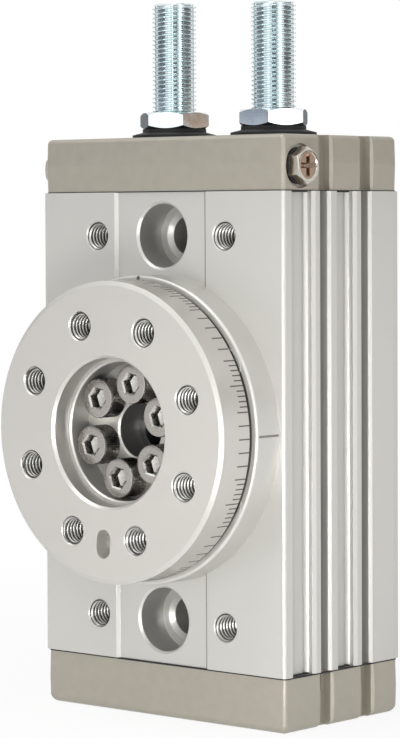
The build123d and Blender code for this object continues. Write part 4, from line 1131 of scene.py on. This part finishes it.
def set_floor(stage):
    """Pale floor that shows the object's shadow and goes over into the background."""
    material, tree = new_material("pale floor")
    shader = tree.nodes["Principled BSDF"]
    feed(tree, shader, {"Base Color": (*stage.floor, 1.0), "Roughness": 0.9, "Specular IOR Level": 0.0})
    reach = vectors(tree, "LENGTH", {0: object_place(tree)}, "Value")
    fade = ramp(tree, reach, stage.shadow_from, stage.shadow_to, 1 - stage.floor_shadow, 1.0)
    seen = maths(tree, "MULTIPLY", fade, seen_mask(tree))
    mixed = add(tree, "ShaderNodeMixShader",
                {0: seen, 1: shader.outputs[0], 2: plain_glow(tree, stage.background)})
    feed(tree, tree.nodes["Material Output"], {"Surface": mixed.outputs[0]})
    bm = bmesh.new()
    bmesh.ops.create_grid(bm, x_segments=1, y_segments=1, size=stage.floor_reach,
                          matrix=Matrix.Translation((0, 0, cad_bounds[0][2])))
    linked(bm, "floor", material)


class ROTARY_OT_stage(bpy.types.Operator):
    """Camera, soft lights and a pale floor"""
    bl_idname = "rotary_table.stage"
    bl_label = "Stage"

    def execute(self, context):
        scene = bpy.context.scene
        scene.view_settings.view_transform = "Standard"
        set_camera(scene)
        set_world(scene, settings().stage)
        set_floor(settings().stage)
        for lamp in LAMPS:
            soft_light(*lamp)
        for card in REFLECTORS:
            reflector(*card)
        return {"FINISHED"}


class ROTARY_PT_panel(bpy.types.Panel):
    """Lists the operators in the sidebar"""
    bl_label = "Rotary Table"
    bl_idname = "ROTARY_PT_panel"
    bl_space_type = "VIEW_3D"
    bl_region_type = "UI"
    bl_category = "Rotary Table"

    def draw(self, context):
        for operator in OPERATORS:
            self.layout.operator(operator.bl_idname)


SETTINGS = (ThreadSizes, PatternSizes, ScrewSizes, PlugSizes, ScaleSizes, GapSizes, SealSizes, Finishes,
            WallShades, StageSettings, RotaryTableSettings)
OPERATORS = (ROTARY_OT_finishes, ROTARY_OT_adjustment_bolts, ROTARY_OT_cap_screws, ROTARY_OT_hole_threads,
             ROTARY_OT_port_plugs, ROTARY_OT_scale, ROTARY_OT_gap, ROTARY_OT_seal_edges, ROTARY_OT_stage)
CLASSES = (*SETTINGS, *OPERATORS, ROTARY_PT_panel)


def register():
    for item in CLASSES:
        bpy.utils.register_class(item)
    bpy.types.Scene.rotary_table = PointerProperty(type=RotaryTableSettings)


def unregister():
    del bpy.types.Scene.rotary_table
    for item in reversed(CLASSES):
        bpy.utils.unregister_class(item)


def main():
    register()
    for operator in OPERATORS:
        group, name = operator.bl_idname.split(".")
        getattr(getattr(bpy.ops, group), name)()


if __name__ == "__main__":
    main()
